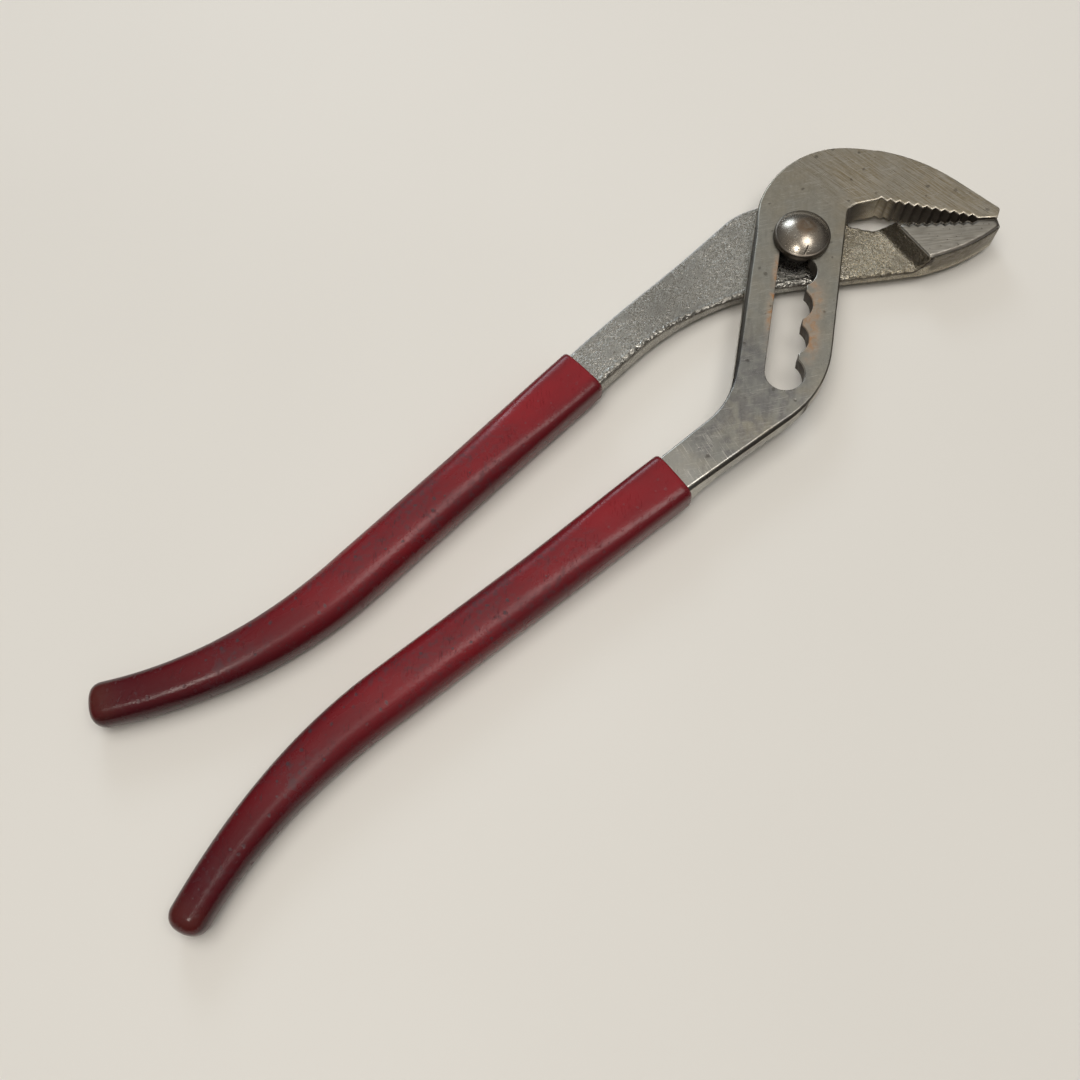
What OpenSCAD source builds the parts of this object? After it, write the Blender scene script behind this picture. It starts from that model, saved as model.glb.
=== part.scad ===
// Slip joint pliers: a slotted half and a pivot half lapped on a domed bolt,
// a notched slot that the bolt rides in, toothed jaws and a dipped grip on each handle.
// Frame: origin on the pivot axis, Z up from the surface that the tool lies on,
// X along the tool towards the jaws. Sizes in millimetres, angles in degrees.

/* [Pivot bolt and nut] */
// Diameter of the domed bolt head
bolt_head_d = 13.2; // [11.5:0.1:15]
// Height of the straight rim under the dome
bolt_rim_h = 1.1; // [0.4:0.1:2]
// Height of the dome above the rim
bolt_dome_h = 2.5; // [1:0.1:4]
// Diameter of the bolt neck that rides in the slot
bolt_neck_d = 8.8; // [8.2:0.1:9.6]
// Diameter of the bolt journal that the pivot half turns on
bolt_journal_d = 8; // [7:0.1:8.2]
// Diameter of the bolt tail inside the nut
bolt_tail_d = 6; // [5:0.1:6.8]
// Height that the bolt tail stands out of the nut
bolt_tail_out = 0.3; // [0.1:0.1:1]
// Width of the nut across its flats
nut_af = 13; // [11:0.5:15]
// Height of the nut
nut_h = 2.3; // [1.8:0.1:4]
// Depth of the chamfer on the nut's corners
nut_chamfer = 0.6; // [0.2:0.1:0.9]
// Width that the chamfer takes off the nut's flats
nut_face_inset = 0.2; // [0.1:0.1:0.5]
// Radial clearance of the running fits
run_clear = 0.08; // [0.03:0.01:0.1]
// Clearance between flat faces that slide on each other
face_clear = 0.1; // [0.05:0.05:0.2]

/* [Slot] */
// Slope of the slot below the tool's length
slot_angle = 44; // [38:1:50]
// Number of bolt places in the slot
notch_count = 5; // [3:1:6]
// Distance from one bolt place to the next
notch_pitch = 9; // [8.4:0.1:9.6]
// Depth of the notches past the cusps between them
notch_depth = 1.9; // [1:0.1:2.4]

/* [Slotted half] */
// Thickness of the slotted plate
plate_t = 4; // [3.2:0.1:5.5]
// Distance from the slot's axis to the arm's back edge
arm_back_w = 11.1; // [9.5:0.1:13]
// Distance from the slot's axis to the arm's jaw-side edge
arm_front_w = 9.9; // [8.5:0.1:11]
// Distance from the last bolt place down to the handle's middle line
handle_drop = 3.6; // [3:0.1:5]
// Radius at the bend from the arm's back edge to the handle
back_bend_r = 18; // [10:1:22]
// Radius at the bend from the arm's jaw-side edge to the handle
front_bend_r = 28; // [18:1:32]
// Spread of the handle's two edges from its middle line, towards the arm
root_spread = 1.7; // [0:0.1:2.5]

/* [Upper jaw] */
// Height of the jaw's back above the pivot
jaw_back_y = 17.6; // [16.5:0.1:19]
// Distance from the pivot to the jaw tips along the tool
jaw_tip_x = 42.3; // [40:0.1:46]
// Distance from the pivot to the jaw tips across the tool
jaw_tip_y = -21.6; // [-23:0.1:-20.5]
// Radius on the corner at the jaw's tip
jaw_tip_r = 0.8; // [0.3:0.1:1.2]
// Distance from the pivot to where the jaw's back starts to fall
back_fall_x = 20.2; // [18:0.1:22]
// Slope of the jaw's back towards the tip
back_fall_slope = 42; // [39:1:45]
// Slope of the jaw's nose
nose_slope = 77; // [72:1:82]
// Radius from the arm's back edge to the jaw's back
shoulder_r = 24; // [16:1:26]
// Radius along the jaw's back
back_r = 21; // [15:1:24]
// Radius from the jaw's back to its nose
nose_r = 40; // [20:1:44]
// Radius of the throat between the arm and the jaw
throat_r = 3.5; // [2:0.1:5]
// Slope of the throat's roof
throat_slope = 23.6; // [18:0.1:28]

/* [Pivot half] */
// Thickness of the pivot half where the slotted half laps over it
lap_t = 3; // [2.6:0.1:4.4]
// Radius of the round eye about the pivot
eye_r = 14; // [13:0.1:14.4]
// Distance from the pivot to the lap's lower edge
lap_low_w = 9.8; // [9:0.1:11]
// Slope of the lap's lower edge below the tool's length
lap_slope = 29; // [26:0.5:31]
// Radius from the handle's lower edge to the lap's lower edge
neck_bend_r = 65; // [40:1:70]
// Radius from the handle's upper edge to the eye
heel_r = 18; // [8:1:22]
// Distance from the pivot to the foot of the lower jaw's step
step_foot_x = 18; // [17:0.1:19]
// Run of the step's slope from its foot to the lower jaw's face
step_run = 2.6; // [1.5:0.1:3]
// Radius of the fillet at the foot of the step
step_fillet_r = 1.6; // [0.5:0.1:2.5]
// Distance from the pivot to the lower jaw's chin
chin_x = 19.5; // [18.5:0.1:21]
// Slope of the lower jaw's underside at its chin
chin_slope = 18; // [14:1:22]
// Radius under the lower jaw's chin
chin_r = 20; // [10:1:30]
// Radius along the lower jaw's underside
jaw_under_r = 40; // [15:1:45]
// Depth of the lower jaw below its toothed face at the tip
lower_tip_depth = 2.5; // [1.8:0.1:3]
// Distance over which the pivot handle rises to its full thickness
ramp_l = 18; // [12:1:24]

/* [Teeth] */
// Distance from one tooth to the next
tooth_pitch = 1.95; // [1.6:0.05:2.6]
// Depth of the teeth
tooth_depth = 0.75; // [0.4:0.05:1]
// Length of the upper jaw's toothed face
upper_face_l = 23.4; // [21:0.1:25]
// Length of the lower jaw's toothed face
lower_face_l = 19; // [17.5:0.1:20]
// Slope of the upper jaw's toothed face
upper_face_slope = 50; // [47:0.5:53]
// Slope of the lower jaw's toothed face
lower_face_slope = 34.4; // [32:0.2:37]
// Length of the plain faces that meet at the tips
tip_run = 4.6; // [3.5:0.1:6]
// Length of the bevel across the tips
tip_bevel_l = 2.7; // [2:0.1:3.4]
// Gap between the closed jaws at their tips
jaw_gap = 0.15; // [0.1:0.05:0.3]

/* [Handles] */
// Width of both handles where they enter the grips
handle_w = 10; // [9:0.1:11]
// Width of the steel at the far end of the handles
tang_end_w = 5.6; // [4:0.1:6.4]
// Height of the pivot handle's top face above the lap's underside
handle_t = 5.3; // [4.2:0.1:6]
// Thickness of the slotted handle where it enters the grip
root_t = 6.6; // [5:0.1:7]
// Distance from the pivot to both grip mouths along the tool
grip_x = 61; // [60:0.5:66]
// Place of the pivot handle's middle line at the grip's mouth
pivot_handle_y = 3; // [2.8:0.1:4]
// Slope of the slotted handle
slotted_slope = 2.3; // [1.5:0.1:3]
// Slope of the pivot handle
pivot_slope = 8.5; // [7.5:0.1:9]
// Straight length of the slotted handle past the grip's mouth
slotted_straight = 79; // [70:1:90]
// Straight length of the pivot handle past the grip's mouth
pivot_straight = 70; // [62:1:80]
// Radius of the slotted handle's bend
slotted_bend_r = 130; // [100:1:180]
// Radius of the pivot handle's bend
pivot_bend_r = 103; // [80:1:140]

/* [Grips] */
// Length of the slotted half's grip along its middle line
slotted_grip_l = 138.5; // [125:0.5:145]
// Length of the pivot half's grip along its middle line
pivot_grip_l = 131; // [120:0.5:138]
// Width of the grips along the straight
grip_w = 12.2; // [11.6:0.1:14]
// Width of the slotted half's grip just before its end
slotted_grip_end_w = 8.8; // [8.2:0.1:12]
// Width of the pivot half's grip just before its end
pivot_grip_end_w = 9.6; // [8.2:0.1:12]
// Thickness of the grips along the straight
grip_t = 10.4; // [9.8:0.1:12]
// Thickness of the grips just before their ends
grip_end_t = 8.6; // [8:0.1:10]
// Thickness of the grip's wall at its mouth
grip_wall = 1.2; // [1:0.1:1.4]
// Length of the solid end of the grips past the steel
grip_nose = 7; // [5:0.5:10]
// Length of the rounded end of the grips
grip_cap = 3.8; // [3:0.1:7]
// Clearance between a grip and its handle
grip_clear = 0.05; // [0.02:0.01:0.1]

/* [Hidden] */
$fn = 96;

// Angle between the points of a rounded corner
arc_step = 4;
// Far enough to reach past the whole tool
reach = 300;
// How far a cutting shape runs past the face that it cuts
overshoot = 1;

// Heights of the stacked faces, from the resting surface up
z_under = bolt_tail_out + nut_h + face_clear;
z_lap = z_under + lap_t;
z_plate = z_lap + face_clear;
z_top = z_plate + plate_t;
z_head = z_top + face_clear;

// The slot: along it towards the handle, and across it towards the jaws
slot_along = [-cos(slot_angle), -sin(slot_angle)];
slot_across = [sin(slot_angle), -cos(slot_angle)];
slot_w = bolt_neck_d + 2 * run_clear;
slot_travel = (notch_count - 1) * notch_pitch;
cusp_v = slot_w / 2 - notch_depth;
last_place = slot_travel * slot_along;
function slot_point(u, v) = u * slot_along + v * slot_across;

// The toothed faces: the lower jaw's runs straight to the tips, the upper's opens from it
tip_bevel = 35;
tip_corner = [jaw_tip_x, jaw_tip_y];
face_end = tip_corner - tip_bevel_l * [cos(tip_bevel), sin(tip_bevel)];
face_start = face_end + tip_run * [-cos(lower_face_slope), sin(lower_face_slope)];
upper_face_start = face_start + upper_face_l * [-cos(upper_face_slope), sin(upper_face_slope)];
lower_face_start = face_start + lower_face_l * [-cos(lower_face_slope), sin(lower_face_slope)];
jaw_gap_step = jaw_gap * [sin(lower_face_slope), cos(lower_face_slope)];
// Share of a tooth's pitch taken by its steep flank
steep_share = 0.35;

// The lower jaw's blunt end, below the tips
lower_tip_slope = 65;
lower_tip_r = 1.2;

// The eye's round edge runs between these two angles, then turns into the throat
eye_first = 75;
eye_last = -5;
eye_turn = -11;
eye_throat_r = 2;

// Room under the upper jaw for the pivot half's eye and handle to swing in
swing_room = 0.6;
// Depth of that room in the plate
swing_relief = 0.1;
swing_wall_angle = 29;

// The slotted handle keeps its height up to the flare, then thins inside the grip
root_flare_l = 8;
root_level_l = 3;
tang_drop_l = 24;
handle_mid_z = z_under + handle_t / 2;
// The pivot handle starts to rise here, clear of the arm that laps over it
ramp_near_x = 27;

// A handle's middle line: start, slope, straight length, bend radius and bend side
slotted_mouth = last_place - [
    grip_x + last_place.x, handle_drop + (grip_x + last_place.x) * tan(slotted_slope)
];
slotted_line = [slotted_mouth, slotted_slope, slotted_straight, slotted_bend_r, 1];
pivot_line = [[-grip_x, pivot_handle_y], pivot_slope, pivot_straight, pivot_bend_r, -1];

function unit(v) = v / norm(v);
function heading(slope) = [-cos(slope), -sin(slope)];
function beside(slope) = [-sin(slope), cos(slope)];
function smooth(x) = let (c = min(1, max(0, x))) c * c * (3 - 2 * c);
function blend(a, b, x) = a + (b - a) * x;

// Point where the line through p along d meets the line through q along e
function crossing(p, d, q, e) =
    p + d * ((q.x - p.x) * e.y - (q.y - p.y) * e.x) / (d.x * e.y - d.y * e.x);

// Points of one corner [x, y, radius], rounded between its neighbours
function corner_arc(before, corner, after) =
    let (
        here = [corner.x, corner.y],
        d1 = unit([before.x, before.y] - here),
        d2 = unit([after.x, after.y] - here),
        opening = acos(min(1, max(-1, d1 * d2))),
        centre = here + unit(d1 + d2) * corner[2] / sin(opening / 2),
        from = here + d1 * corner[2] / tan(opening / 2) - centre,
        to = here + d2 * corner[2] / tan(opening / 2) - centre,
        start = atan2(from.y, from.x),
        turn = atan2(from.x * to.y - from.y * to.x, from * to),
        steps = max(2, ceil(abs(turn) / arc_step))
    )
    [for (i = [0:steps])
        centre + corner[2] * [cos(start + turn * i / steps), sin(start + turn * i / steps)]];

// A closed outline from corners [x, y, radius], where radius 0 keeps a corner sharp
function rounded(corners) =
    let (n = len(corners))
    [for (i = [0:n - 1])
        each corners[i][2] == 0
            ? [[corners[i].x, corners[i].y]]
            : corner_arc(corners[(i + n - 1) % n], corners[i], corners[(i + 1) % n])];

function sharp(p) = [p.x, p.y, 0];
function round_to(p, r) = [p.x, p.y, r];
function backwards(list) = [for (i = [1:len(list)]) list[len(list) - i]];

// Saw teeth from one point to another, cut to the given side of that line
function teeth(from, to, side) =
    let (
        count = floor(norm(to - from) / tooth_pitch),
        step = (to - from) / count,
        inward = side * tooth_depth * unit([-step.y, step.x])
    )
    [for (i = [0:count - 1])
        each [sharp(from + i * step), sharp(from + (i + steep_share) * step + inward)]];

// Slope and point of a handle's middle line at a distance along it
function line_slope(line, s) =
    line[1] + line[4] * max(0, s - line[2]) / line[3] * 180 / PI;
function line_point(line, s) =
    let (slope = line_slope(line, s), bent = line[3] * line[4])
    line[0] + min(s, line[2]) * heading(line[1])
    + bent * [sin(line[1]) - sin(slope), cos(slope) - cos(line[1])];

// One long edge of the steel inside a grip, from the mouth to its end, on the given side
function tang_edge(line, length, side, grow) =
    let (steps = 20)
    [for (i = [0:steps])
        let (
            s = length * i / steps,
            half = grow + blend(handle_w, tang_end_w, smooth(i / steps)) / 2
        )
        line_point(line, s) + side * half * beside(line_slope(line, s))];

// Plan outline of the room for that steel, opened ahead of the mouth
function tang_room(line, length, grow) =
    let (upper = tang_edge(line, length, 1, grow), lower = tang_edge(line, length, -1, grow))
    concat(
        [upper[0] - overshoot * heading(line[1])], upper,
        backwards(lower), [lower[0] - overshoot * heading(line[1])]
    );

// A half's plan outline: its steel inside the grip, then its rounded corners
function with_tang(line, length, corners) =
    let (upper = tang_edge(line, length, 1, 0), lower = tang_edge(line, length, -1, 0))
    rounded(concat(
        [for (p = backwards(lower)) sharp(p)],
        corners,
        [for (p = upper) sharp(p)]
    ));

// Plan outline of the slotted half: handle root, arm and upper jaw
function slotted_outline() =
    let (
        mouth = slotted_line[0],
        up = beside(slotted_slope) * handle_w / 2,
        top_edge = heading(slotted_slope + root_spread),
        low_edge = heading(slotted_slope - root_spread),
        front = slot_point(0, arm_front_w),
        back = slot_point(0, -arm_back_w),
        throat = crossing(front, slot_along, upper_face_start, heading(-throat_slope)),
        back_top = crossing(back, slot_along, [0, jaw_back_y], [1, 0]),
        fall_top = [back_fall_x, jaw_back_y],
        nose = crossing(fall_top, heading(-back_fall_slope), tip_corner, heading(-nose_slope))
    )
    with_tang(slotted_line, slotted_grip_l - grip_nose, concat(
        [round_to(crossing(mouth - up, low_edge, front, slot_along), front_bend_r)],
        [round_to(throat, throat_r)],
        teeth(upper_face_start, face_start + jaw_gap_step, 1),
        [sharp(face_start + jaw_gap_step), sharp(face_end + jaw_gap_step)],
        [round_to(tip_corner, jaw_tip_r)],
        [round_to(nose, nose_r)],
        [round_to(fall_top, back_r)],
        [round_to(back_top, shoulder_r)],
        [round_to(crossing(mouth + up, top_edge, back, slot_along), back_bend_r)]
    ));

// Side profile of the slotted half, as points of length and height
function slotted_profile(grow) =
    let (
        low = z_under - grow,
        high = z_under + handle_t + grow,
        inside = -grip_x - tang_drop_l
    )
    [
        [-reach, low], [inside, low],
        [-grip_x, z_top - root_t - grow], [root_flare_l - grip_x, z_plate], [0, z_plate],
        [0, z_under], [reach, z_under], [reach, z_top + grow],
        [-grip_x - root_level_l, z_top + grow], [inside, high], [-reach, high]
    ];

// Plan outline of the pivot half: handle root, eye and lower jaw
function pivot_outline() =
    let (
        mouth = pivot_line[0],
        up = beside(pivot_slope) * handle_w / 2,
        eye = function (a) eye_r * [cos(a), sin(a)],
        lap_edge = [cos(lap_slope), -sin(lap_slope)],
        lap_low = -lap_low_w * [sin(lap_slope), cos(lap_slope)],
        neck = crossing(mouth - up, heading(pivot_slope), lap_low, lap_edge),
        chin = crossing(lap_low, lap_edge, [chin_x, 0], [0, 1]),
        tip_low = face_end - lower_tip_depth * [cos(lower_tip_slope), sin(lower_tip_slope)],
        under = crossing(chin, heading(-chin_slope), tip_low, [1, 0]),
        heel = crossing(mouth + up, heading(pivot_slope), eye(eye_first), beside(eye_first))
    )
    with_tang(pivot_line, pivot_grip_l - grip_nose, concat(
        [round_to(neck, neck_bend_r)],
        [round_to(chin, chin_r)],
        [round_to(under, jaw_under_r)],
        [round_to(tip_low, lower_tip_r)],
        [sharp(face_end), sharp(face_start)],
        backwards(teeth(lower_face_start, face_start, -1)),
        [round_to(eye(eye_turn), eye_throat_r)],
        [for (a = [eye_last:arc_step:eye_first]) sharp(eye(a))],
        [round_to(heel, heel_r)]
    ));

// Side profile of the pivot half, as points of length and height
function pivot_profile(grow) =
    rounded([
        [-reach, z_under - grow, 0], [reach, z_under - grow, 0], [reach, z_top, 0],
        [step_foot_x + step_run, z_top, 0], [step_foot_x, z_lap, step_fillet_r],
        [-ramp_near_x, z_lap, 0], [-ramp_near_x - ramp_l, z_under + handle_t + grow, 0],
        [-reach, z_under + handle_t + grow, 0]
    ]);

// A side profile drawn out across the whole tool
module across_tool(profile) {
    translate([0, reach / 2, 0])
        rotate([90, 0, 0])
            linear_extrude(reach)
                polygon(profile);
}

// The room inside a grip for its handle's steel
module handle_room(line, length, profile) {
    intersection() {
        linear_extrude(z_head)
            polygon(tang_room(line, length + grip_clear, grip_clear));
        across_tool(profile);
    }
}

// The slot from the first bolt place to the last, with its notches
module slot() {
    for (i = [0:notch_count - 1]) {
        place = slot_point(i * notch_pitch, 0);
        translate([place.x, place.y, 0])
            cylinder(d = slot_w, h = z_head);
    }
    rotate(180 + slot_angle)
        translate([0, -slot_w / 2, 0])
            cube([slot_travel, slot_w - notch_depth, z_head]);
}

// Room for the pivot half's eye and handle: a round end that opens past the jaw's back
module swing_space() {
    wall = eye_r + swing_room;
    round_end = [for (a = [-180:arc_step:0]) wall * [cos(a), sin(a)]];
    rotate(swing_wall_angle)
        linear_extrude(z_plate + swing_relief)
            polygon(concat(round_end, [[wall, reach], [-wall, reach]]));
}

module slotted_half() {
    color("silver")
        difference() {
            intersection() {
                linear_extrude(z_head)
                    polygon(slotted_outline());
                across_tool(slotted_profile(0));
            }
            slot();
            swing_space();
        }
}

module pivot_half() {
    color("gainsboro")
        difference() {
            intersection() {
                linear_extrude(z_head)
                    polygon(pivot_outline());
                across_tool(pivot_profile(0));
            }
            cylinder(d = bolt_journal_d + 2 * run_clear, h = z_head);
        }
}

// A dipped grip: rings of a soft rectangle along the handle, closed at both ends
module grip_form(line, length, end_w, mouth_low, mouth_high) {
    sides = 24;
    runs = 26;
    caps = 5;
    cap_sweep = 84;
    lip = 0.7;
    lip_w = 0.5;
    swell_l = 45;
    taper_l = 65;
    mouth_power = 0.45;
    body_power = 0.8;
    mouth_w = handle_w + 2 * grip_wall;
    stations = concat(
        [0],
        [for (i = [0:runs]) lip + (length - grip_cap - lip) * i / runs],
        [for (i = [1:caps]) length - grip_cap + grip_cap * sin(cap_sweep * i / caps)]
    );
    // Share of the full section left at a distance along the rounded end
    function cap_share(s) =
        let (into = max(0, s - length + grip_cap) / grip_cap)
        sqrt(max(0, 1 - into * into));
    function swell(s) = smooth(s / swell_l);
    function taper(s) = smooth((s - length + taper_l) / taper_l);
    function width(s) = blend(blend(mouth_w, grip_w, swell(s)), end_w, taper(s));
    function thick(s) =
        blend(blend(mouth_high - mouth_low, grip_t, swell(s)), grip_end_t, taper(s));
    function middle(s) = blend((mouth_high + mouth_low) / 2, grip_t / 2, swell(s));
    function soft(c, power) = sign(c) * pow(abs(c), power);
    function ring(s) =
        let (
            slope = line_slope(line, s),
            centre = line_point(line, s),
            share = cap_share(s),
            half_w = (width(s) - (s == 0 ? lip_w : 0)) / 2 * share,
            half_t = (thick(s) - (s == 0 ? lip_w : 0)) / 2 * share,
            power = blend(mouth_power, body_power, swell(s))
        )
        [for (k = [0:sides - 1])
            let (
                a = 360 * (k + 0.5) / sides,
                p = centre + half_w * soft(cos(a), power) * beside(slope)
            )
            [p.x, p.y, middle(s) + half_t * soft(sin(a), power)]];
    rings = len(stations);
    function at(i, k) = i * sides + k % sides;
    polyhedron(
        points = [for (s = stations) each ring(s)],
        faces = concat(
            [[for (k = [0:sides - 1]) k]],
            [for (i = [0:rings - 2])
                for (k = [0:sides - 1])
                    each [
                        [at(i, k), at(i + 1, k), at(i + 1, k + 1)],
                        [at(i, k), at(i + 1, k + 1), at(i, k + 1)]
                    ]],
            [[for (k = [0:sides - 1]) at(rings - 1, sides - 1 - k)]]
        )
    );
}

module slotted_half_grip() {
    color("firebrick")
        difference() {
            grip_form(
                slotted_line, slotted_grip_l, slotted_grip_end_w,
                z_top - root_t - grip_wall, z_top + grip_wall
            );
            handle_room(slotted_line, slotted_grip_l - grip_nose, slotted_profile(grip_clear));
        }
}

module pivot_half_grip() {
    color("firebrick")
        difference() {
            grip_form(
                pivot_line, pivot_grip_l, pivot_grip_end_w,
                z_under - grip_wall, z_under + handle_t + grip_wall
            );
            handle_room(pivot_line, pivot_grip_l - grip_nose, pivot_profile(grip_clear));
        }
}

// Domed head, neck with a flat that clears the cusps, round journal and tail
module pivot_bolt() {
    head_r = bolt_head_d / 2;
    dome_r = (head_r * head_r + bolt_dome_h * bolt_dome_h) / (2 * bolt_dome_h);
    color("gray") {
        translate([0, 0, z_head])
            cylinder(r = head_r, h = bolt_rim_h);
        intersection() {
            translate([0, 0, z_head + bolt_rim_h])
                cylinder(r = head_r, h = bolt_dome_h + overshoot);
            translate([0, 0, z_head + bolt_rim_h + bolt_dome_h - dome_r])
                sphere(r = dome_r);
        }
        intersection() {
            translate([0, 0, z_plate])
                cylinder(d = bolt_neck_d, h = z_head - z_plate);
            rotate(180 + slot_angle)
                translate([-bolt_neck_d, -bolt_neck_d, 0])
                    cube([2 * bolt_neck_d, bolt_neck_d + cusp_v - run_clear, reach]);
        }
        translate([0, 0, z_under])
            cylinder(d = bolt_journal_d, h = z_plate - z_under);
        cylinder(d = bolt_tail_d, h = z_under);
    }
}

// Hexagon nut with chamfered corners on its outer face
module pivot_nut() {
    corner_r = nut_af / 2 / cos(30);
    color("gray")
        translate([0, 0, bolt_tail_out])
            difference() {
                intersection() {
                    cylinder(r = corner_r, h = nut_h, $fn = 6);
                    union() {
                        cylinder(r1 = nut_af / 2 - nut_face_inset, r2 = corner_r, h = nut_chamfer);
                        translate([0, 0, nut_chamfer])
                            cylinder(r = corner_r, h = nut_h);
                    }
                }
                translate([0, 0, -overshoot])
                    cylinder(d = bolt_tail_d + 2 * run_clear, h = nut_h + 2 * overshoot);
            }
}

slotted_half();
slotted_half_grip();
pivot_half();
pivot_half_grip();
pivot_bolt();
pivot_nut();
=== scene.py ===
"""Looks of a pair of slip joint pliers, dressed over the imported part.

Sizes are in metres, in the part's own frame: the origin lies on the pivot axis, X runs along
the tool towards the jaws, and Z points up from the surface that the tool lies on.
"""

from __future__ import annotations

import logging
import math
from dataclasses import dataclass, field
from enum import Enum
from typing import Any, Callable, ClassVar, Iterable, Mapping, Sequence, Union

import bmesh
import bpy
import numpy as np
from mathutils import Matrix, Quaternion, Vector, noise

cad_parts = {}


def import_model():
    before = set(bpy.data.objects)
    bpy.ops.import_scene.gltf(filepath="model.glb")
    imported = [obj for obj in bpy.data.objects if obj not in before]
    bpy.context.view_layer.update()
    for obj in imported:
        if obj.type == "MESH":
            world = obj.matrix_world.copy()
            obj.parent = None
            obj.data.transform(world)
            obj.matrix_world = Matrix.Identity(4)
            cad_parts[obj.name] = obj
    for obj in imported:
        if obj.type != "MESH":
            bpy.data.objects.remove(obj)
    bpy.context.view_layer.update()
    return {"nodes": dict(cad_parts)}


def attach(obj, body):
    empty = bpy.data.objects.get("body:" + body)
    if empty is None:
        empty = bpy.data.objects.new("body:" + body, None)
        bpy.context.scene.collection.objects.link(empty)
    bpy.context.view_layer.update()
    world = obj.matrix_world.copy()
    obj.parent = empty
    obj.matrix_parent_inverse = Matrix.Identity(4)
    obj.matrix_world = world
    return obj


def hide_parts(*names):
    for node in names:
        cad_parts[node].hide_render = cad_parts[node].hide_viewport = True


log = logging.getLogger("pliers")

MM = 0.001
MERGE_DISTANCE = 2e-6
SLOT_ANGLE = math.radians(44)
SLOT_ALONG = Vector((-math.cos(SLOT_ANGLE), -math.sin(SLOT_ANGLE), 0.0))
SLOT_ACROSS = Vector((math.sin(SLOT_ANGLE), -math.cos(SLOT_ANGLE), 0.0))
MOUTH_SLOPE = 0.683
MOUTH_LEVEL = 7.25 * MM
TOOL_MIDDLE = (-0.05, -0.02, 0.0)
WARM_WHITE = (1.0, 0.97, 0.92)

Colour = tuple[float, float, float]
Place = tuple[float, float, float]
Span = tuple[float, float]


class Finish(Enum):
    """Material slots of the part's record."""

    GROUND = "ground_steel"
    FORGED = "forged_steel"
    BOLT = "bolt_steel"
    GRIP = "dipped_grip"


class BendSide(Enum):
    """Way that a handle bends on its way to its end."""

    DOWN = 1.0
    UP = -1.0


def smooth_step(low: float, high: float, value: float) -> float:
    """Rises smoothly from 0 to 1.

    Args:
        low: Level at which the rise starts.
        high: Level at which the rise ends.
        value: Level that is asked for.

    Returns:
        The share of the rise, from 0 to 1.
    """
    share = min(1.0, max(0.0, (value - low) / (high - low)))
    return share * share * (3.0 - 2.0 * share)


def over_mouth(x: Any, y: Any) -> Any:
    """Height of a place above the line of the closed teeth, for numbers or for wires."""
    return y + x * MOUTH_SLOPE - MOUTH_LEVEL


def operator_of(operation: str, swapped: bool = False) -> Callable[[Wire, Value], Wire]:
    """Makes an operator of a wire, which places a Math node.

    Args:
        operation: The node's operation.
        swapped: Whether the wire is the second operand.

    Returns:
        The operator's method.
    """

    def method(wire: Wire, other: Value) -> Wire:
        """Result of the operation."""
        return wire.bench.math(operation, *((other, wire) if swapped else (wire, other)))

    return method


class Wire:
    """A socket's value; arithmetic on it places the nodes that work it out."""

    def __init__(self, bench: Bench, socket: bpy.types.NodeSocket) -> None:
        """Remembers a socket.

        Args:
            bench: Bench of the tree that holds the socket.
            socket: Output socket that carries the value.
        """
        self.bench = bench
        self.socket = socket

    __add__, __radd__ = operator_of("ADD"), operator_of("ADD", swapped=True)
    __sub__, __rsub__ = operator_of("SUBTRACT"), operator_of("SUBTRACT", swapped=True)
    __mul__, __rmul__ = operator_of("MULTIPLY"), operator_of("MULTIPLY", swapped=True)
    __truediv__, __rtruediv__ = operator_of("DIVIDE"), operator_of("DIVIDE", swapped=True)
    __pow__ = operator_of("POWER")

    def __abs__(self) -> Wire:
        """Size of a value without its sign."""
        return self.bench.math("ABSOLUTE", self)

    def clamped(self) -> Wire:
        """The value, held between 0 and 1."""
        return self.bench.math("ADD", self, 0.0, clamp=True)


Value = Union[float, Sequence[float], Wire]


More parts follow.
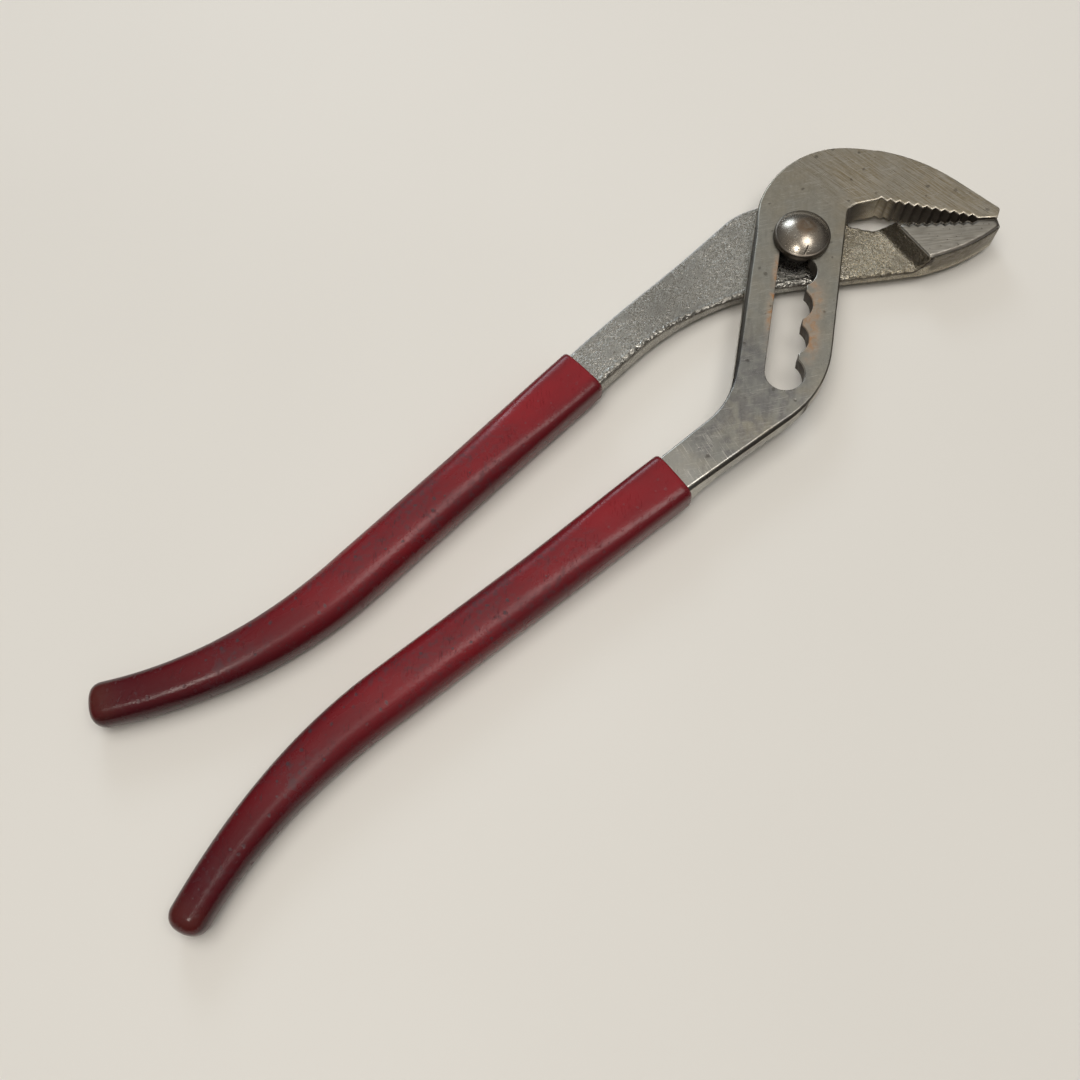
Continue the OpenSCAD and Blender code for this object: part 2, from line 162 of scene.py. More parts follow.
class Bench:
    """One node tree, and the calls that place and join nodes in it."""

    def __init__(self, tree: bpy.types.NodeTree) -> None:
        """Takes a tree to work on.

        Args:
            tree: Node tree that the nodes go into.
        """
        self.tree = tree

    def feed(self, socket: bpy.types.NodeSocket, value: Any) -> None:
        """Sets an input socket.

        Args:
            socket: Input socket.
            value: Wire to link, or a plain value for the socket itself.
        """
        if isinstance(value, Wire):
            self.tree.links.new(value.socket, socket)
        elif socket.type == "RGBA":
            socket.default_value = (*value, 1.0)
        else:
            socket.default_value = value

    def node(self, kind: str, feeds: Mapping[str, Any], **settings: Any) -> bpy.types.Node:
        """Places a node.

        Args:
            kind: Node's type name.
            feeds: Value of each input, by the socket's name.
            **settings: The node's own properties.

        Returns:
            The node.
        """
        node = self.tree.nodes.new(kind)
        for name, value in settings.items():
            setattr(node, name, value)
        for name, value in feeds.items():
            self.feed(node.inputs[name], value)
        return node

    def _row(self, kind: str, values: Sequence[Value], **settings: Any) -> bpy.types.Node:
        """Places a node whose inputs are fed in their order.

        Args:
            kind: Node's type name.
            values: Values of its first inputs.
            **settings: The node's own properties.

        Returns:
            The node.
        """
        node = self.node(kind, {}, **settings)
        for socket, value in zip(node.inputs, values):
            self.feed(socket, value)
        return node

    def wire(self, node: bpy.types.Node, output: int | str = 0) -> Wire:
        """An output of a node as a wire."""
        return Wire(self, node.outputs[output])

    def math(self, operation: str, *values: Value, clamp: bool = False) -> Wire:
        """Places a Math node.

        Args:
            operation: The node's operation.
            *values: Its operands.
            clamp: Whether the result is held between 0 and 1.

        Returns:
            The result.
        """
        return self.wire(self._row("ShaderNodeMath", values, operation=operation, use_clamp=clamp))

    def vector(self, operation: str, *values: Value) -> Wire:
        """Places a Vector Math node.

        Args:
            operation: The node's operation.
            *values: Its operands.

        Returns:
            The result, a number for a dot product or a length and a vector otherwise.
        """
        node = self._row("ShaderNodeVectorMath", values, operation=operation)
        return self.wire(node, "Value" if operation in ("DOT_PRODUCT", "LENGTH") else "Vector")

    def joined(self, x: Value, y: Value, z: Value) -> Wire:
        """A vector from three numbers."""
        return self.wire(self.node("ShaderNodeCombineXYZ", {"X": x, "Y": y, "Z": z}))

    def split(self, vector: Wire) -> tuple[Wire, Wire, Wire]:
        """The three numbers of a vector."""
        node = self.node("ShaderNodeSeparateXYZ", {"Vector": vector})
        return self.wire(node, "X"), self.wire(node, "Y"), self.wire(node, "Z")

    def ramp(self, value: Wire, low: Value, high: Value) -> Wire:
        """Places a smooth step.

        Args:
            value: Level that is asked for.
            low: Level with the result 0.
            high: Level with the result 1, which may be the lower one.

        Returns:
            The share of the step, from 0 to 1.
        """
        feeds = {"Value": value, "From Min": low, "From Max": high}
        return self.wire(self.node("ShaderNodeMapRange", feeds, interpolation_type="SMOOTHSTEP"))

    def mixed(self, start: Value, end: Value, share: Wire) -> Wire:
        """A number between two others."""
        return share * (end - start) + start

    def tint(self, share: Value, base: Any, other: Any) -> Wire:
        """Places a colour mix.

        Args:
            share: Share of the other colour.
            base: Colour where the share is 0.
            other: Colour where the share is 1.

        Returns:
            The mixed colour.
        """
        node = self.node("ShaderNodeMix", {}, data_type="RGBA")
        feeds = {"Factor_Float": share, "A_Color": base, "B_Color": other}
        for socket in node.inputs:
            if socket.identifier in feeds:
                self.feed(socket, feeds[socket.identifier])
        return Wire(self, next(s for s in node.outputs if s.identifier == "Result_Color"))

    def layers(self, base: Any, *coats: tuple[Value, Any]) -> Wire:
        """Lays colours over one another.

        Args:
            base: Lowest colour.
            *coats: Share and colour of each layer, from below.

        Returns:
            The colour on top.
        """
        for share, colour in coats:
            base = self.tint(share, base, colour)
        return base

    def band(self, value: Wire, rise: Span, fall: Span) -> Wire:
        """1 between a smooth rise and a smooth fall, and 0 outside them."""
        return self.ramp(value, *rise) * self.ramp(value, *fall)

    def noise(self, place: Wire, scale: Value, detail: float, distortion: float = 0.0) -> Wire:
        """Places a noise texture.

        Args:
            place: Where the noise is read.
            scale: Noise cells in a metre, or in a unit of the place.
            detail: Number of finer layers.
            distortion: How far the noise is bent.

        Returns:
            The noise, from 0 to 1 with most of it near a half.
        """
        feeds = {"Vector": place, "Scale": scale, "Detail": detail, "Distortion": distortion}
        return self.wire(self.node("ShaderNodeTexNoise", feeds))

    def place(self) -> Wire:
        """Place on the piece, in the part's frame."""
        return self.wire(self.node("ShaderNodeTexCoord", {}), "Object")

    def attribute(self, name: str, output: str) -> Wire:
        """A value that the piece's mesh carries."""
        return self.wire(self.node("ShaderNodeAttribute", {}, attribute_name=name), output)


class Effect:
    """A shader node group that is read at a place and set by numbers."""

    def __init__(self, name: str, numbers: Mapping[str, float], outputs: Sequence[str]) -> None:
        """Makes an empty group.

        Args:
            name: Group's name.
            numbers: Default of each number input, by name.
            outputs: Names of the number outputs.
        """
        self.tree = bpy.data.node_groups.new(name, "ShaderNodeTree")
        face = self.tree.interface
        face.new_socket("Place", in_out="INPUT", socket_type="NodeSocketVector")
        for label, default in numbers.items():
            socket = face.new_socket(label, in_out="INPUT", socket_type="NodeSocketFloat")
            socket.default_value = default
        for label in outputs:
            face.new_socket(label, in_out="OUTPUT", socket_type="NodeSocketFloat")
        self.bench = Bench(self.tree)
        self._entry = self.tree.nodes.new("NodeGroupInput")
        self._exit = self.tree.nodes.new("NodeGroupOutput")
        self.place = self.given("Place")

    def given(self, name: str) -> Wire:
        """One of the group's inputs, inside the group."""
        return self.bench.wire(self._entry, name)

    def give(self, name: str, value: Wire) -> None:
        """Sets one of the group's outputs, inside the group."""
        self.bench.feed(self._exit.inputs[name], value)

    def put(self, place: Wire, output: int | str = 0, **numbers: Value) -> Wire:
        """Places the group in a finish.

        Args:
            place: Where the effect is read.
            output: The output that is wanted.
            **numbers: Value of each number input, by its name in lower case.

        Returns:
            That output.
        """
        feeds = {"Place": place, **{name.capitalize(): v for name, v in numbers.items()}}
        node = place.bench.node("ShaderNodeGroup", feeds, node_tree=self.tree)
        return place.bench.wire(node, output)


class Effects:
    """The wear and grain that the finishes share, each built once."""

    def __init__(self) -> None:
        """Builds every effect."""
        self.streaks = self._streaks()
        self.blotches = self._blotches()
        self.scratches = self._scratches()
        self.grit = self._grit()
        self.specks = self._specks()

    def _streaks(self) -> Effect:
        """Builds the fine parallel lines that grinding leaves.

        Returns:
            The effect.
        """
        numbers = {"Angle": 0.0, "Length": 8 * MM, "Width": 0.4 * MM}
        effect = Effect("grinding_streaks", numbers, ["Streak"])
        bench = effect.bench
        feeds = {"Vector": effect.place, "Angle": effect.given("Angle")}
        turned = bench.wire(bench.node("ShaderNodeVectorRotate", feeds, rotation_type="Z_AXIS"))
        per_length = 1.0 / effect.given("Length")
        per_width = 1.0 / effect.given("Width")
        cells = bench.joined(per_length, per_width, per_width)
        stretched = bench.vector("MULTIPLY", turned, cells)
        effect.give("Streak", bench.ramp(bench.noise(stretched, 1.0, 2.0), 0.3, 0.7))
        return effect

    def _blotches(self) -> Effect:
        """Builds uneven patches, such as stains, rust and grime.

        Returns:
            The effect.
        """
        numbers = {"Size": 5 * MM, "Cover": 0.5, "Softness": 0.1}
        effect = Effect("uneven_blotches", numbers, ["Mask"])
        bench = effect.bench
        cloud = bench.noise(effect.place, 1.0 / effect.given("Size"), 5.0, 0.6)
        edge = 0.72 - effect.given("Cover") * 0.44
        soft = effect.given("Softness")
        effect.give("Mask", bench.ramp(cloud, edge - soft, edge + soft))
        return effect

    def _scratches(self) -> Effect:
        """Builds thin lines, scattered in patches.

        Returns:
            The effect.
        """
        numbers = {"Angle": 0.0, "Length": 6 * MM, "Width": 0.3 * MM, "Cover": 0.4}
        effect = Effect("thin_scratches", numbers, ["Mask"])
        turn = {name: effect.given(name) for name in ("Angle", "Length", "Width")}
        line = self.streaks.put(effect.place, **turn)
        patch = self.blotches.put(
            effect.place, size=turn["Length"], cover=effect.given("Cover"), softness=0.08
        )
        effect.give("Mask", effect.bench.ramp(line, 0.86, 0.97) * patch)
        return effect

    def _grit(self) -> Effect:
        """Builds the fine rough skin of plating and old castings.

        Returns:
            The effect.
        """
        effect = Effect("rough_skin", {"Size": 0.6 * MM}, ["Height", "Tone"])
        bench = effect.bench
        per_size = 1.0 / effect.given("Size")
        lumps = bench.noise(effect.place, per_size, 3.0)
        specks = bench.noise(effect.place, per_size * 2.7, 1.0)
        effect.give("Height", lumps + specks * 0.4)
        effect.give("Tone", bench.ramp(specks, 0.35, 0.65))
        return effect

    def _specks(self) -> Effect:
        """Builds small separate spots, such as pits and dabs of grime.

        Returns:
            The effect.
        """
        effect = Effect("small_specks", {"Pitch": 2 * MM, "Cover": 0.3}, ["Mask"])
        bench = effect.bench
        per_pitch = 1.0 / effect.given("Pitch")
        feeds = {"Vector": effect.place, "Scale": per_pitch}
        cells = bench.node("ShaderNodeTexVoronoi", feeds, voronoi_dimensions="2D")
        chance, size, _ = bench.split(bench.wire(cells, "Color"))
        wobble = (bench.noise(effect.place, per_pitch * 3.0, 2.0) - 0.5) * 0.4
        reach = bench.wire(cells, "Distance") + wobble
        spot = bench.ramp(reach, size * 0.2 + 0.12, size * 0.1 + 0.02)
        cover = effect.given("Cover")
        effect.give("Mask", spot * bench.ramp(chance, cover + 0.05, cover - 0.05))
        return effect


class Coating:
    """A material on its bench, with its shader's own sockets."""

    def __init__(self, name: str, plain: Mapping[str, Any]) -> None:
        """Makes a material with one shader.

        Args:
            name: Material's name.
            plain: Values that are the same all over, by the socket's name.
        """
        self.material = bpy.data.materials.new(name)
        self.material.use_nodes = True
        self.material.node_tree.nodes.clear()
        self.bench = Bench(self.material.node_tree)
        self.shader = self.bench.node("ShaderNodeBsdfPrincipled", {})
        target = self.bench.node("ShaderNodeOutputMaterial", {})
        self.bench.tree.links.new(self.shader.outputs[0], target.inputs["Surface"])
        for label, value in plain.items():
            self.bench.feed(self.shader.inputs[label], value)

    def finish(self, colour: Wire, roughness: Wire, metallic: Wire | None = None) -> None:
        """Sets what changes over the surface.

        Args:
            colour: Base colour.
            roughness: Roughness.
            metallic: Share of bare metal, where it changes.
        """
        self.bench.feed(self.shader.inputs["Base Color"], colour)
        self.bench.feed(self.shader.inputs["Roughness"], roughness.clamped())
        if metallic is not None:
            self.bench.feed(self.shader.inputs["Metallic"], metallic.clamped())

    def relief(self, height: Wire, depth: float) -> None:
        """Roughens the surface.

        Args:
            height: Height of the surface, where 1 stands one depth proud of 0.
            depth: That depth, in metres.
        """
        bump = self.bench.node("ShaderNodeBump", {"Height": height * depth, "Distance": 1.0})
        self.bench.feed(self.shader.inputs["Normal"], self.bench.wire(bump))


@dataclass(frozen=True)
class GroundSteel:
    """The slotted half's flat ground steel, worn, with rust along its slot, painted shade in its
    notches, mouth and chamfers, and painted highlights and reflection along its edges and root.
    """

    steel: Colour = (0.42, 0.41, 0.36)
    bright: Colour = (0.74, 0.71, 0.65)
    brown: Colour = (0.37, 0.305, 0.20)
    blue: Colour = (0.36, 0.363, 0.345)
    stain: Colour = (0.215, 0.205, 0.215)
    rust: Colour = (0.36, 0.17, 0.06)
    # Dark colour for grime and pits, and for painted shade.
    dark_tint: Colour = (0.052, 0.04, 0.031)
    roughness: float = 0.25
    jaw_grain_angle: float = math.radians(78)
    arm_grain_angle: float = math.radians(-50)
    root_grain_angle: float = math.radians(-84)
    top: float = 9.8 * MM
    jaw_starts: Span = (4 * MM, 18 * MM)
    root_starts: Span = (-40 * MM, -54 * MM)
    stains_start: Span = (-20 * MM, -31 * MM)
    stains_end: Span = (-60 * MM, -48 * MM)
    blue_starts: Span = (-8 * MM, -32 * MM)
    reflection_starts: Span = (-50 * MM, -60 * MM)
    slot_half: Span = (6.4 * MM, 5.8 * MM)
    slot_ends: Span = (45 * MM, 43 * MM)

    def material(self, effects: Effects) -> bpy.types.Material:
        """Builds the material.

        Args:
            effects: The shared wear and grain.

        Returns:
            The material.
        """
        coating = Coating("ground_steel_worn", {})
        bench = coating.bench
        place = bench.place()
        x, y, height = bench.split(place)
        along = bench.vector("DOT_PRODUCT", place, tuple(SLOT_ALONG))
        across = bench.vector("DOT_PRODUCT", place, tuple(SLOT_ACROSS))
        rim = bench.attribute("rim", "Fac")
        jaw = bench.ramp(x, *self.jaw_starts)
        root = bench.ramp(x, *self.root_starts)

        jaw_grain = effects.streaks.put(
            place, angle=self.jaw_grain_angle, length=6 * MM, width=0.24 * MM
        )
        arm_grain = effects.streaks.put(
            place, angle=self.arm_grain_angle, length=4 * MM, width=0.5 * MM
        )
        root_lines = effects.scratches.put(
            place, angle=self.root_grain_angle, length=5 * MM, width=0.24 * MM, cover=0.8
        )
        grain = bench.mixed(arm_grain * 0.45, jaw_grain, jaw)
        brown = effects.blotches.put(place, size=11 * MM, cover=0.5, softness=0.16)
        blue = effects.blotches.put(place, size=7 * MM, cover=0.55, softness=0.14)
        stains = effects.blotches.put(place, size=3.4 * MM, cover=0.5, softness=0.13)
        stains = stains * bench.band(x, self.stains_start, self.stains_end)
        mottle = bench.ramp(bench.noise(place, 620.0, 4.0), 0.4, 0.66)
        flecks = bench.ramp(bench.noise(place, 2300.0, 2.0), 0.5, 0.72)
        pits = effects.specks.put(place, pitch=2.2 * MM, cover=0.09)
        cuts = effects.scratches.put(place, angle=0.4, length=4 * MM, width=0.13 * MM, cover=0.62)
        rust = self._slot_rust(bench, effects, place, along, across)
        over_face = over_mouth(x, y)
        in_slot = bench.ramp(abs(across), *self.slot_half) * bench.ramp(along, *self.slot_ends)
        in_mouth = bench.ramp(x, 6 * MM, 9 * MM) * bench.ramp(over_face, 5 * MM, 3 * MM)
        # Painted shade: the sides of the slot's notches and the inner faces of the mouth are
        # darkened where shade falls in them, and made rougher and less metallic.
        wall_shade = bench.ramp(height, self.top - 0.3 * MM, self.top - 0.6 * MM)
        wall_shade = wall_shade * (in_slot + in_mouth).clamped()
        back = bench.band(along, (-9 * MM, 2 * MM), (46 * MM, 38 * MM))
        back = back * bench.ramp(across, -8.2 * MM, -9.8 * MM)
        low_side = bench.ramp(x, -16 * MM, -30 * MM) * bench.ramp(y, -26 * MM, -30 * MM)
        front = bench.ramp(across, 7.5 * MM, 9 * MM) * bench.ramp(x, 10 * MM, 6 * MM)
        broad = (back + low_side + front).clamped()
        on_edge = bench.ramp(height, self.top - 1.1 * MM, self.top - 0.85 * MM)
        # Painted shade: a dark band on the chamfers of the back edge, the root's lower edge and
        # the arm's front edge.
        shaded = broad * bench.ramp(rim, 0.05, 0.35) * on_edge
        # Painted highlight: a bright line along the outer edge of those chamfers, except the front
        # one, and a lighter rim on the other edges.
        line = broad * bench.ramp(rim, 0.84, 0.96) * on_edge
        plain = (1.0 - broad) * rim * bench.ramp(height, self.top - 0.6 * MM, self.top - 0.3 * MM)

        line = line * (1.0 - front)
        colour = bench.layers(
            self.steel,
            ((jaw * 0.7 + brown * 0.4).clamped(), self.brown),
            (blue * bench.ramp(x, *self.blue_starts) * 0.75, self.blue),
            (stains * 0.6, self.stain),
            (mottle * 0.16, self.dark_tint),
            (flecks * 0.13, self.bright),
            (grain * bench.mixed(0.14, 0.42, jaw), self.bright),
            (root_lines * root * 0.75 + cuts * 0.45, self.bright),
            # Painted reflection: lighter towards the grip.
            (bench.ramp(x, *self.reflection_starts) * 0.3, self.bright),
            (pits * 0.5, self.dark_tint),
            # Painted shade on those chamfers.
            (shaded * 0.7, self.dark_tint),
            # Painted highlight along the edges.
            ((line * 0.8 + plain * 0.4).clamped(), self.bright),
            (rust, self.rust),
            # Painted shade in the slot's notches and the mouth.
            (wall_shade * 0.9, self.dark_tint),
        )
        rough = brown * 0.08 + grain * 0.08 + mottle * 0.06 + rust * 0.3 + wall_shade * 0.2
        coating.finish(colour, rough + self.roughness, 1.0 - rust * 0.75 - wall_shade * 0.6)
        skin = effects.grit.put(place, size=0.7 * MM)
        relief = grain * bench.mixed(0.3, 1.0, jaw) + skin * 0.45 - pits * 1.4
        coating.relief(relief, 0.02 * MM)
        return coating.material

    def _slot_rust(
        self, bench: Bench, effects: Effects, place: Wire, along: Wire, across: Wire
    ) -> Wire:
        """Works out where rust lies along the slot.

        Args:
            bench: Bench of the material.
            effects: The shared wear and grain.
            place: Place on the piece.
            along: Distance from the first bolt place towards the handle.
            across: Distance from the slot's axis towards the jaws.

        Returns:
            Share of rust.
        """
        notch_side = bench.band(across, (8.2 * MM, 4.6 * MM), (2 * MM, 3 * MM))
        notch_side = notch_side * bench.band(along, (6 * MM, 16 * MM), (36 * MM, 27 * MM))
        plain_side = bench.band(across, (-6.2 * MM, -4.7 * MM), (-3 * MM, -4 * MM))
        plain_side = plain_side * bench.band(along, (4 * MM, 9 * MM), (33 * MM, 22 * MM))
        patches = effects.blotches.put(place, size=4.5 * MM, cover=0.64, softness=0.14)
        specks = effects.blotches.put(place, size=1.3 * MM, cover=0.5, softness=0.12)
        spread = notch_side * 0.8 + plain_side * 0.9
        return (spread * patches * (specks * 0.6 + 0.45)).clamped()


@dataclass(frozen=True)
class ForgedSteel:
    """The pivot half's rough plated steel, with a ground lower jaw, painted shade on its step and
    edges, and a painted highlight on its upper rim.
    """

    plating: Colour = (0.30, 0.287, 0.25)
    bright: Colour = (0.86, 0.84, 0.79)
    sheen: Colour = (0.90, 0.93, 0.96)
    warm: Colour = (0.35, 0.29, 0.18)
    ground: Colour = (0.39, 0.362, 0.31)
    # Dark colour for grime and pits, and for painted shade.
    dark_tint: Colour = (0.075, 0.062, 0.05)
    roughness: float = 0.2
    jaw_height: float = 9.3 * MM
    skin_size: float = 0.6 * MM
    lap_starts: Span = (-4 * MM, 8 * MM)
    head_starts: Span = (20.5 * MM, 21.5 * MM)
    jaw_grain_angle: float = math.radians(30)

    def material(self, effects: Effects) -> bpy.types.Material:
        """Builds the material.

        Args:
            effects: The shared wear and grain.

        Returns:
            The material.
        """
        coating = Coating("forged_steel_plated", {"Metallic": 1.0})
        bench = coating.bench
        place = bench.place()
        x, y, height = bench.split(place)
        rim = bench.attribute("rim", "Fac")
        jaw = bench.ramp(height, self.jaw_height, self.jaw_height + 0.2 * MM)
        lap = bench.ramp(x, *self.lap_starts) * (1.0 - jaw)
        low_side = bench.ramp(y - x * 0.15, 11 * MM, 8.5 * MM)
        head = bench.ramp(x, *self.head_starts)
        behind_face = bench.ramp(over_mouth(x, y), -1.5 * MM, -2.5 * MM)

        skin = effects.grit.put(place, size=self.skin_size)
        tone = effects.grit.put(place, "Tone", size=self.skin_size)
        waves = bench.noise(place, 260.0, 2.0)
        beads = bench.noise(place, 950.0, 1.0)
        # Patches of grime.
        dark_tint = effects.blotches.put(place, size=4 * MM, cover=0.36, softness=0.14)
        grain = effects.streaks.put(
            place, angle=self.jaw_grain_angle, length=5 * MM, width=0.35 * MM
        )
        pits = effects.specks.put(place, pitch=1.2 * MM, cover=0.2)
        # Painted shade: a dark band on the step up to the lower jaw, a dark line along the
        # handle's lower edge, and dark edges on the lower jaw behind its teeth.
        step = bench.ramp(height, 5.9 * MM, 6.6 * MM) * (1.0 - jaw)
        step = step * bench.band(x, (16.5 * MM, 18 * MM), (21.4 * MM, 20.9 * MM))
        lower_edge_shade = bench.ramp(rim, 0.74, 0.92) * low_side * (1.0 - head)
        jaw_edge = bench.ramp(rim, 0.08, 0.4) * head * behind_face
        edge_and_step_shade = (lower_edge_shade * 0.75 + step * 0.6 + jaw_edge * 0.65).clamped()

        # Painted highlight: a bluish-white line along the handle's upper rim, where the relief is
        # also kept low.
        smooth_highlit_rim = bench.ramp(rim, 0.1, 0.5) * (1.0 - low_side) * (1.0 - head)
        jaw_colour = bench.layers(
            self.ground, (grain * 0.25, self.bright), (pits * 0.5 + dark_tint * 0.2, self.dark_tint)
        )
        colour = bench.layers(
            self.plating,
            (tone * 0.55, self.bright),
            (lap * 0.8, bench.tint(tone * 0.35, self.warm, self.bright)),
            ((dark_tint * 0.3 + pits * 0.35).clamped(), self.dark_tint),
            (jaw, jaw_colour),
            # Painted highlight on the upper rim.
            (smooth_highlit_rim * 0.85, self.sheen),
            # Painted shade on the step and the edges.
            (edge_and_step_shade, self.dark_tint),
        )
        rough = bench.mixed(tone * 0.08 + dark_tint * 0.15 + self.roughness, grain * 0.08 + 0.34, jaw)
        coating.finish(colour, rough + edge_and_step_shade * 0.15)
        coarse = skin * bench.mixed(1.1, 2.3, lap) + waves * 1.2 + rim * beads * low_side * 9.0
        coarse = coarse * (1.0 - smooth_highlit_rim * 0.8)
        coating.relief(bench.mixed(coarse, grain * 0.12 - pits * 0.12, jaw), 0.125 * MM)
        return coating.material


@dataclass(frozen=True)
class BoltSteel:
    """The bolt's polished dome and the nut, stained brown, with painted shade round the dome's rim
    and under the head.
    """

    steel: Colour = (0.44, 0.405, 0.35)
    brown: Colour = (0.20, 0.125, 0.07)
    # Dark colour for specks and the dent, and for painted shade.
    dark_tint: Colour = (0.05, 0.042, 0.036)
    roughness: float = 0.22
    dome_start: float = 11.0 * MM
    dome_clear: float = 12 * MM
    stain_reach: Span = (3.6 * MM, 1.0 * MM)
    neck_low: float = 5.5 * MM
    neck_high: float = 10.0 * MM
    stain_place: Span = (0.6 * MM, 0.4 * MM)
    mark_from: Span = (-1.71 * MM, -3.76 * MM)
    mark_to: Span = (-3.69 * MM, -4.85 * MM)
    mark_width: float = 0.2 * MM

    def material(self, effects: Effects) -> bpy.types.Material:
        """Builds the material.

        Args:
            effects: The shared wear and grain.

        Returns:
            The material.
        """
        coating = Coating("bolt_steel_stained", {})
        bench = coating.bench
        place = bench.place()
        _, _, height = bench.split(place)
        on_dome = bench.ramp(height, self.dome_start, self.dome_clear)
        cloud = effects.blotches.put(place, size=5.5 * MM, cover=0.45, softness=0.14)
        patch = effects.blotches.put(place, size=2.4 * MM, cover=0.6, softness=0.12)
        specks = effects.specks.put(place, pitch=1.1 * MM, cover=0.4)
        lines = effects.scratches.put(place, angle=0.6, length=3 * MM, width=0.12 * MM, cover=0.7)
        offset = bench.vector("SUBTRACT", place, (*self.stain_place, 0.0))
        flat = bench.vector("MULTIPLY", offset, (1.0, 1.0, 0.0))
        middle = bench.ramp(bench.vector("LENGTH", flat), *self.stain_reach) * on_dome
        mark = self._mark(bench, place) * on_dome
        # Painted shade: darker round the foot of the dome and the head's rim.
        low = bench.ramp(height, self.dome_start + 0.75 * MM, self.dome_start + 0.1 * MM)
        # Painted shadow: the neck under the head is made nearly black, rougher and less metallic.
        neck = bench.ramp(height, self.neck_high + 0.2 * MM, self.neck_high - 0.1 * MM)
        neck = neck * bench.ramp(height, self.neck_low - 0.4 * MM, self.neck_low)

        stain = (cloud * 0.35 + patch * middle * 0.75).clamped()
        colour = bench.layers(
            self.steel,
            (stain, self.brown),
            (specks * 0.35, self.dark_tint),
            # Painted shade round the rim.
            (low * 0.72, self.dark_tint),
            (mark * 0.85, self.dark_tint),
            # Painted shadow under the head.
            (neck * 0.9, self.dark_tint),
        )
        rough = stain * 0.12 + specks * 0.12 + lines * 0.2 + low * 0.14 + self.roughness
        coating.finish(colour, rough + neck * 0.3, 1.0 - neck * 0.8)
        skin = effects.grit.put(place, size=0.9 * MM)
        coating.relief(skin * 0.5 - mark * 2.0 - lines * 0.25, 0.022 * MM)
        return coating.material

    def _mark(self, bench: Bench, place: Wire) -> Wire:
        """Draws the short dent on the dome.

        Args:
            bench: Bench of the material.
            place: Place on the piece.

        Returns:
            1 in the dent and 0 outside it.
        """
        run = Vector(self.mark_to) - Vector(self.mark_from)
        length = run.length
        line = run / length
        start = (*self.mark_from, 0.0)
        offset = bench.vector("SUBTRACT", place, start)
        along = bench.vector("DOT_PRODUCT", offset, (line.x, line.y, 0.0))
        aside = abs(bench.vector("DOT_PRODUCT", offset, (-line.y, line.x, 0.0)))
        ends = bench.band(along, (0.0, 0.3 * MM), (length, length - 0.3 * MM))
        return bench.ramp(aside, self.mark_width, 0.3 * self.mark_width) * ends


@dataclass(frozen=True)
class DippedRed:
    """The grips' satin red coating, with hand grime along its crest, worn ends, and painted shade
    on its sides and towards its end.
    """

    red: Colour = (0.25, 0.014, 0.020)
    deep: Colour = (0.048, 0.003, 0.006)
    grime: Colour = (0.050, 0.031, 0.038)
    worn: Colour = (0.13, 0.07, 0.035)
    roughness: float = 0.19
    mirror: float = 0.34
    stretch: Place = (0.4, 1.0, 1.0)
    held_from: Span = (14 * MM, 40 * MM)
    side: Span = (2.6 * MM, 6.0 * MM)
    top: Span = (1.5 * MM, 3.8 * MM)

    def material(self, effects: Effects, length: float) -> bpy.types.Material:
        """Builds the material for one grip.

        Args:
            effects: The shared wear and grain.
            length: Length of the grip.

        Returns:
            The material.
        """
        plain = {"Specular IOR Level": self.mirror}
        coating = Coating(f"dipped_red_{round(length / MM)}", plain)
        bench = coating.bench
        place = bench.attribute("unbent", "Vector")
        along, aside, lift = bench.split(place)
        stretched = bench.vector("MULTIPLY", place, self.stretch)
        tone = bench.ramp(bench.noise(stretched, 90.0, 4.0), 0.35, 0.7)
        patches = effects.blotches.put(stretched, size=6 * MM, cover=0.5, softness=0.16)
        grains = bench.ramp(bench.noise(place, 780.0, 4.0), 0.47, 0.64)
        specks = effects.specks.put(place, pitch=1.9 * MM, cover=0.2)
        nicks = effects.scratches.put(place, angle=0.9, length=3 * MM, width=0.2 * MM, cover=0.4)
        held = bench.band(along, self.held_from, (length, 0.72 * length))
        # Painted shade towards the far end.
        far = bench.ramp(along, 0.5 * length, 0.95 * length)
        tip = bench.ramp(along, length - 9 * MM, length - 2 * MM)
        edge = bench.ramp(abs(aside), *self.side)
        crest = bench.ramp(lift, *self.top)

        soil = patches * (grains * 0.45 + 0.16) * crest * (held * 0.85 + 0.15)
        colour = bench.layers(
            self.red,
            (tone * 0.4, self.deep),
            # Painted shade: the grip darkens towards its sides and towards its far end.
            ((edge * 0.5 + far * 0.85).clamped(), self.deep),
            (soil.clamped(), self.grime),
            (specks * crest * (held * 0.6 + 0.2), self.grime),
            (nicks * held * 0.6, self.grime),
            (tip * patches * crest * 0.16, self.worn),
        )
        rough = soil * 0.3 + tone * 0.1 + specks * 0.1 + self.roughness
        coating.finish(colour, rough)
        dents = bench.noise(stretched, 170.0, 2.0)
        fine = bench.noise(place, 1300.0, 3.0)
        coating.relief(dents + fine * 0.24 - nicks * 0.3 - specks * 0.2, 0.14 * MM)
        return coating.material


@dataclass(frozen=True)
class PaleFloor:
    """The plain pale floor that the tool lies on."""

    colour: Colour = (0.80, 0.775, 0.73)
    cloud: Colour = (0.765, 0.74, 0.695)
    roughness: float = 0.5
    mirror: float = 0.2

    def material(self) -> bpy.types.Material:
        """Builds the material.

        Returns:
            The material.
        """
        coating = Coating("pale_floor", {"Specular IOR Level": self.mirror})
        bench = coating.bench
        place = bench.place()
        cloud = bench.ramp(bench.noise(place, 3.5, 3.0), 0.35, 0.7)
        colour = bench.tint(cloud, self.colour, self.cloud)
        coating.finish(colour, cloud * 0.04 + self.roughness)
        return coating.material


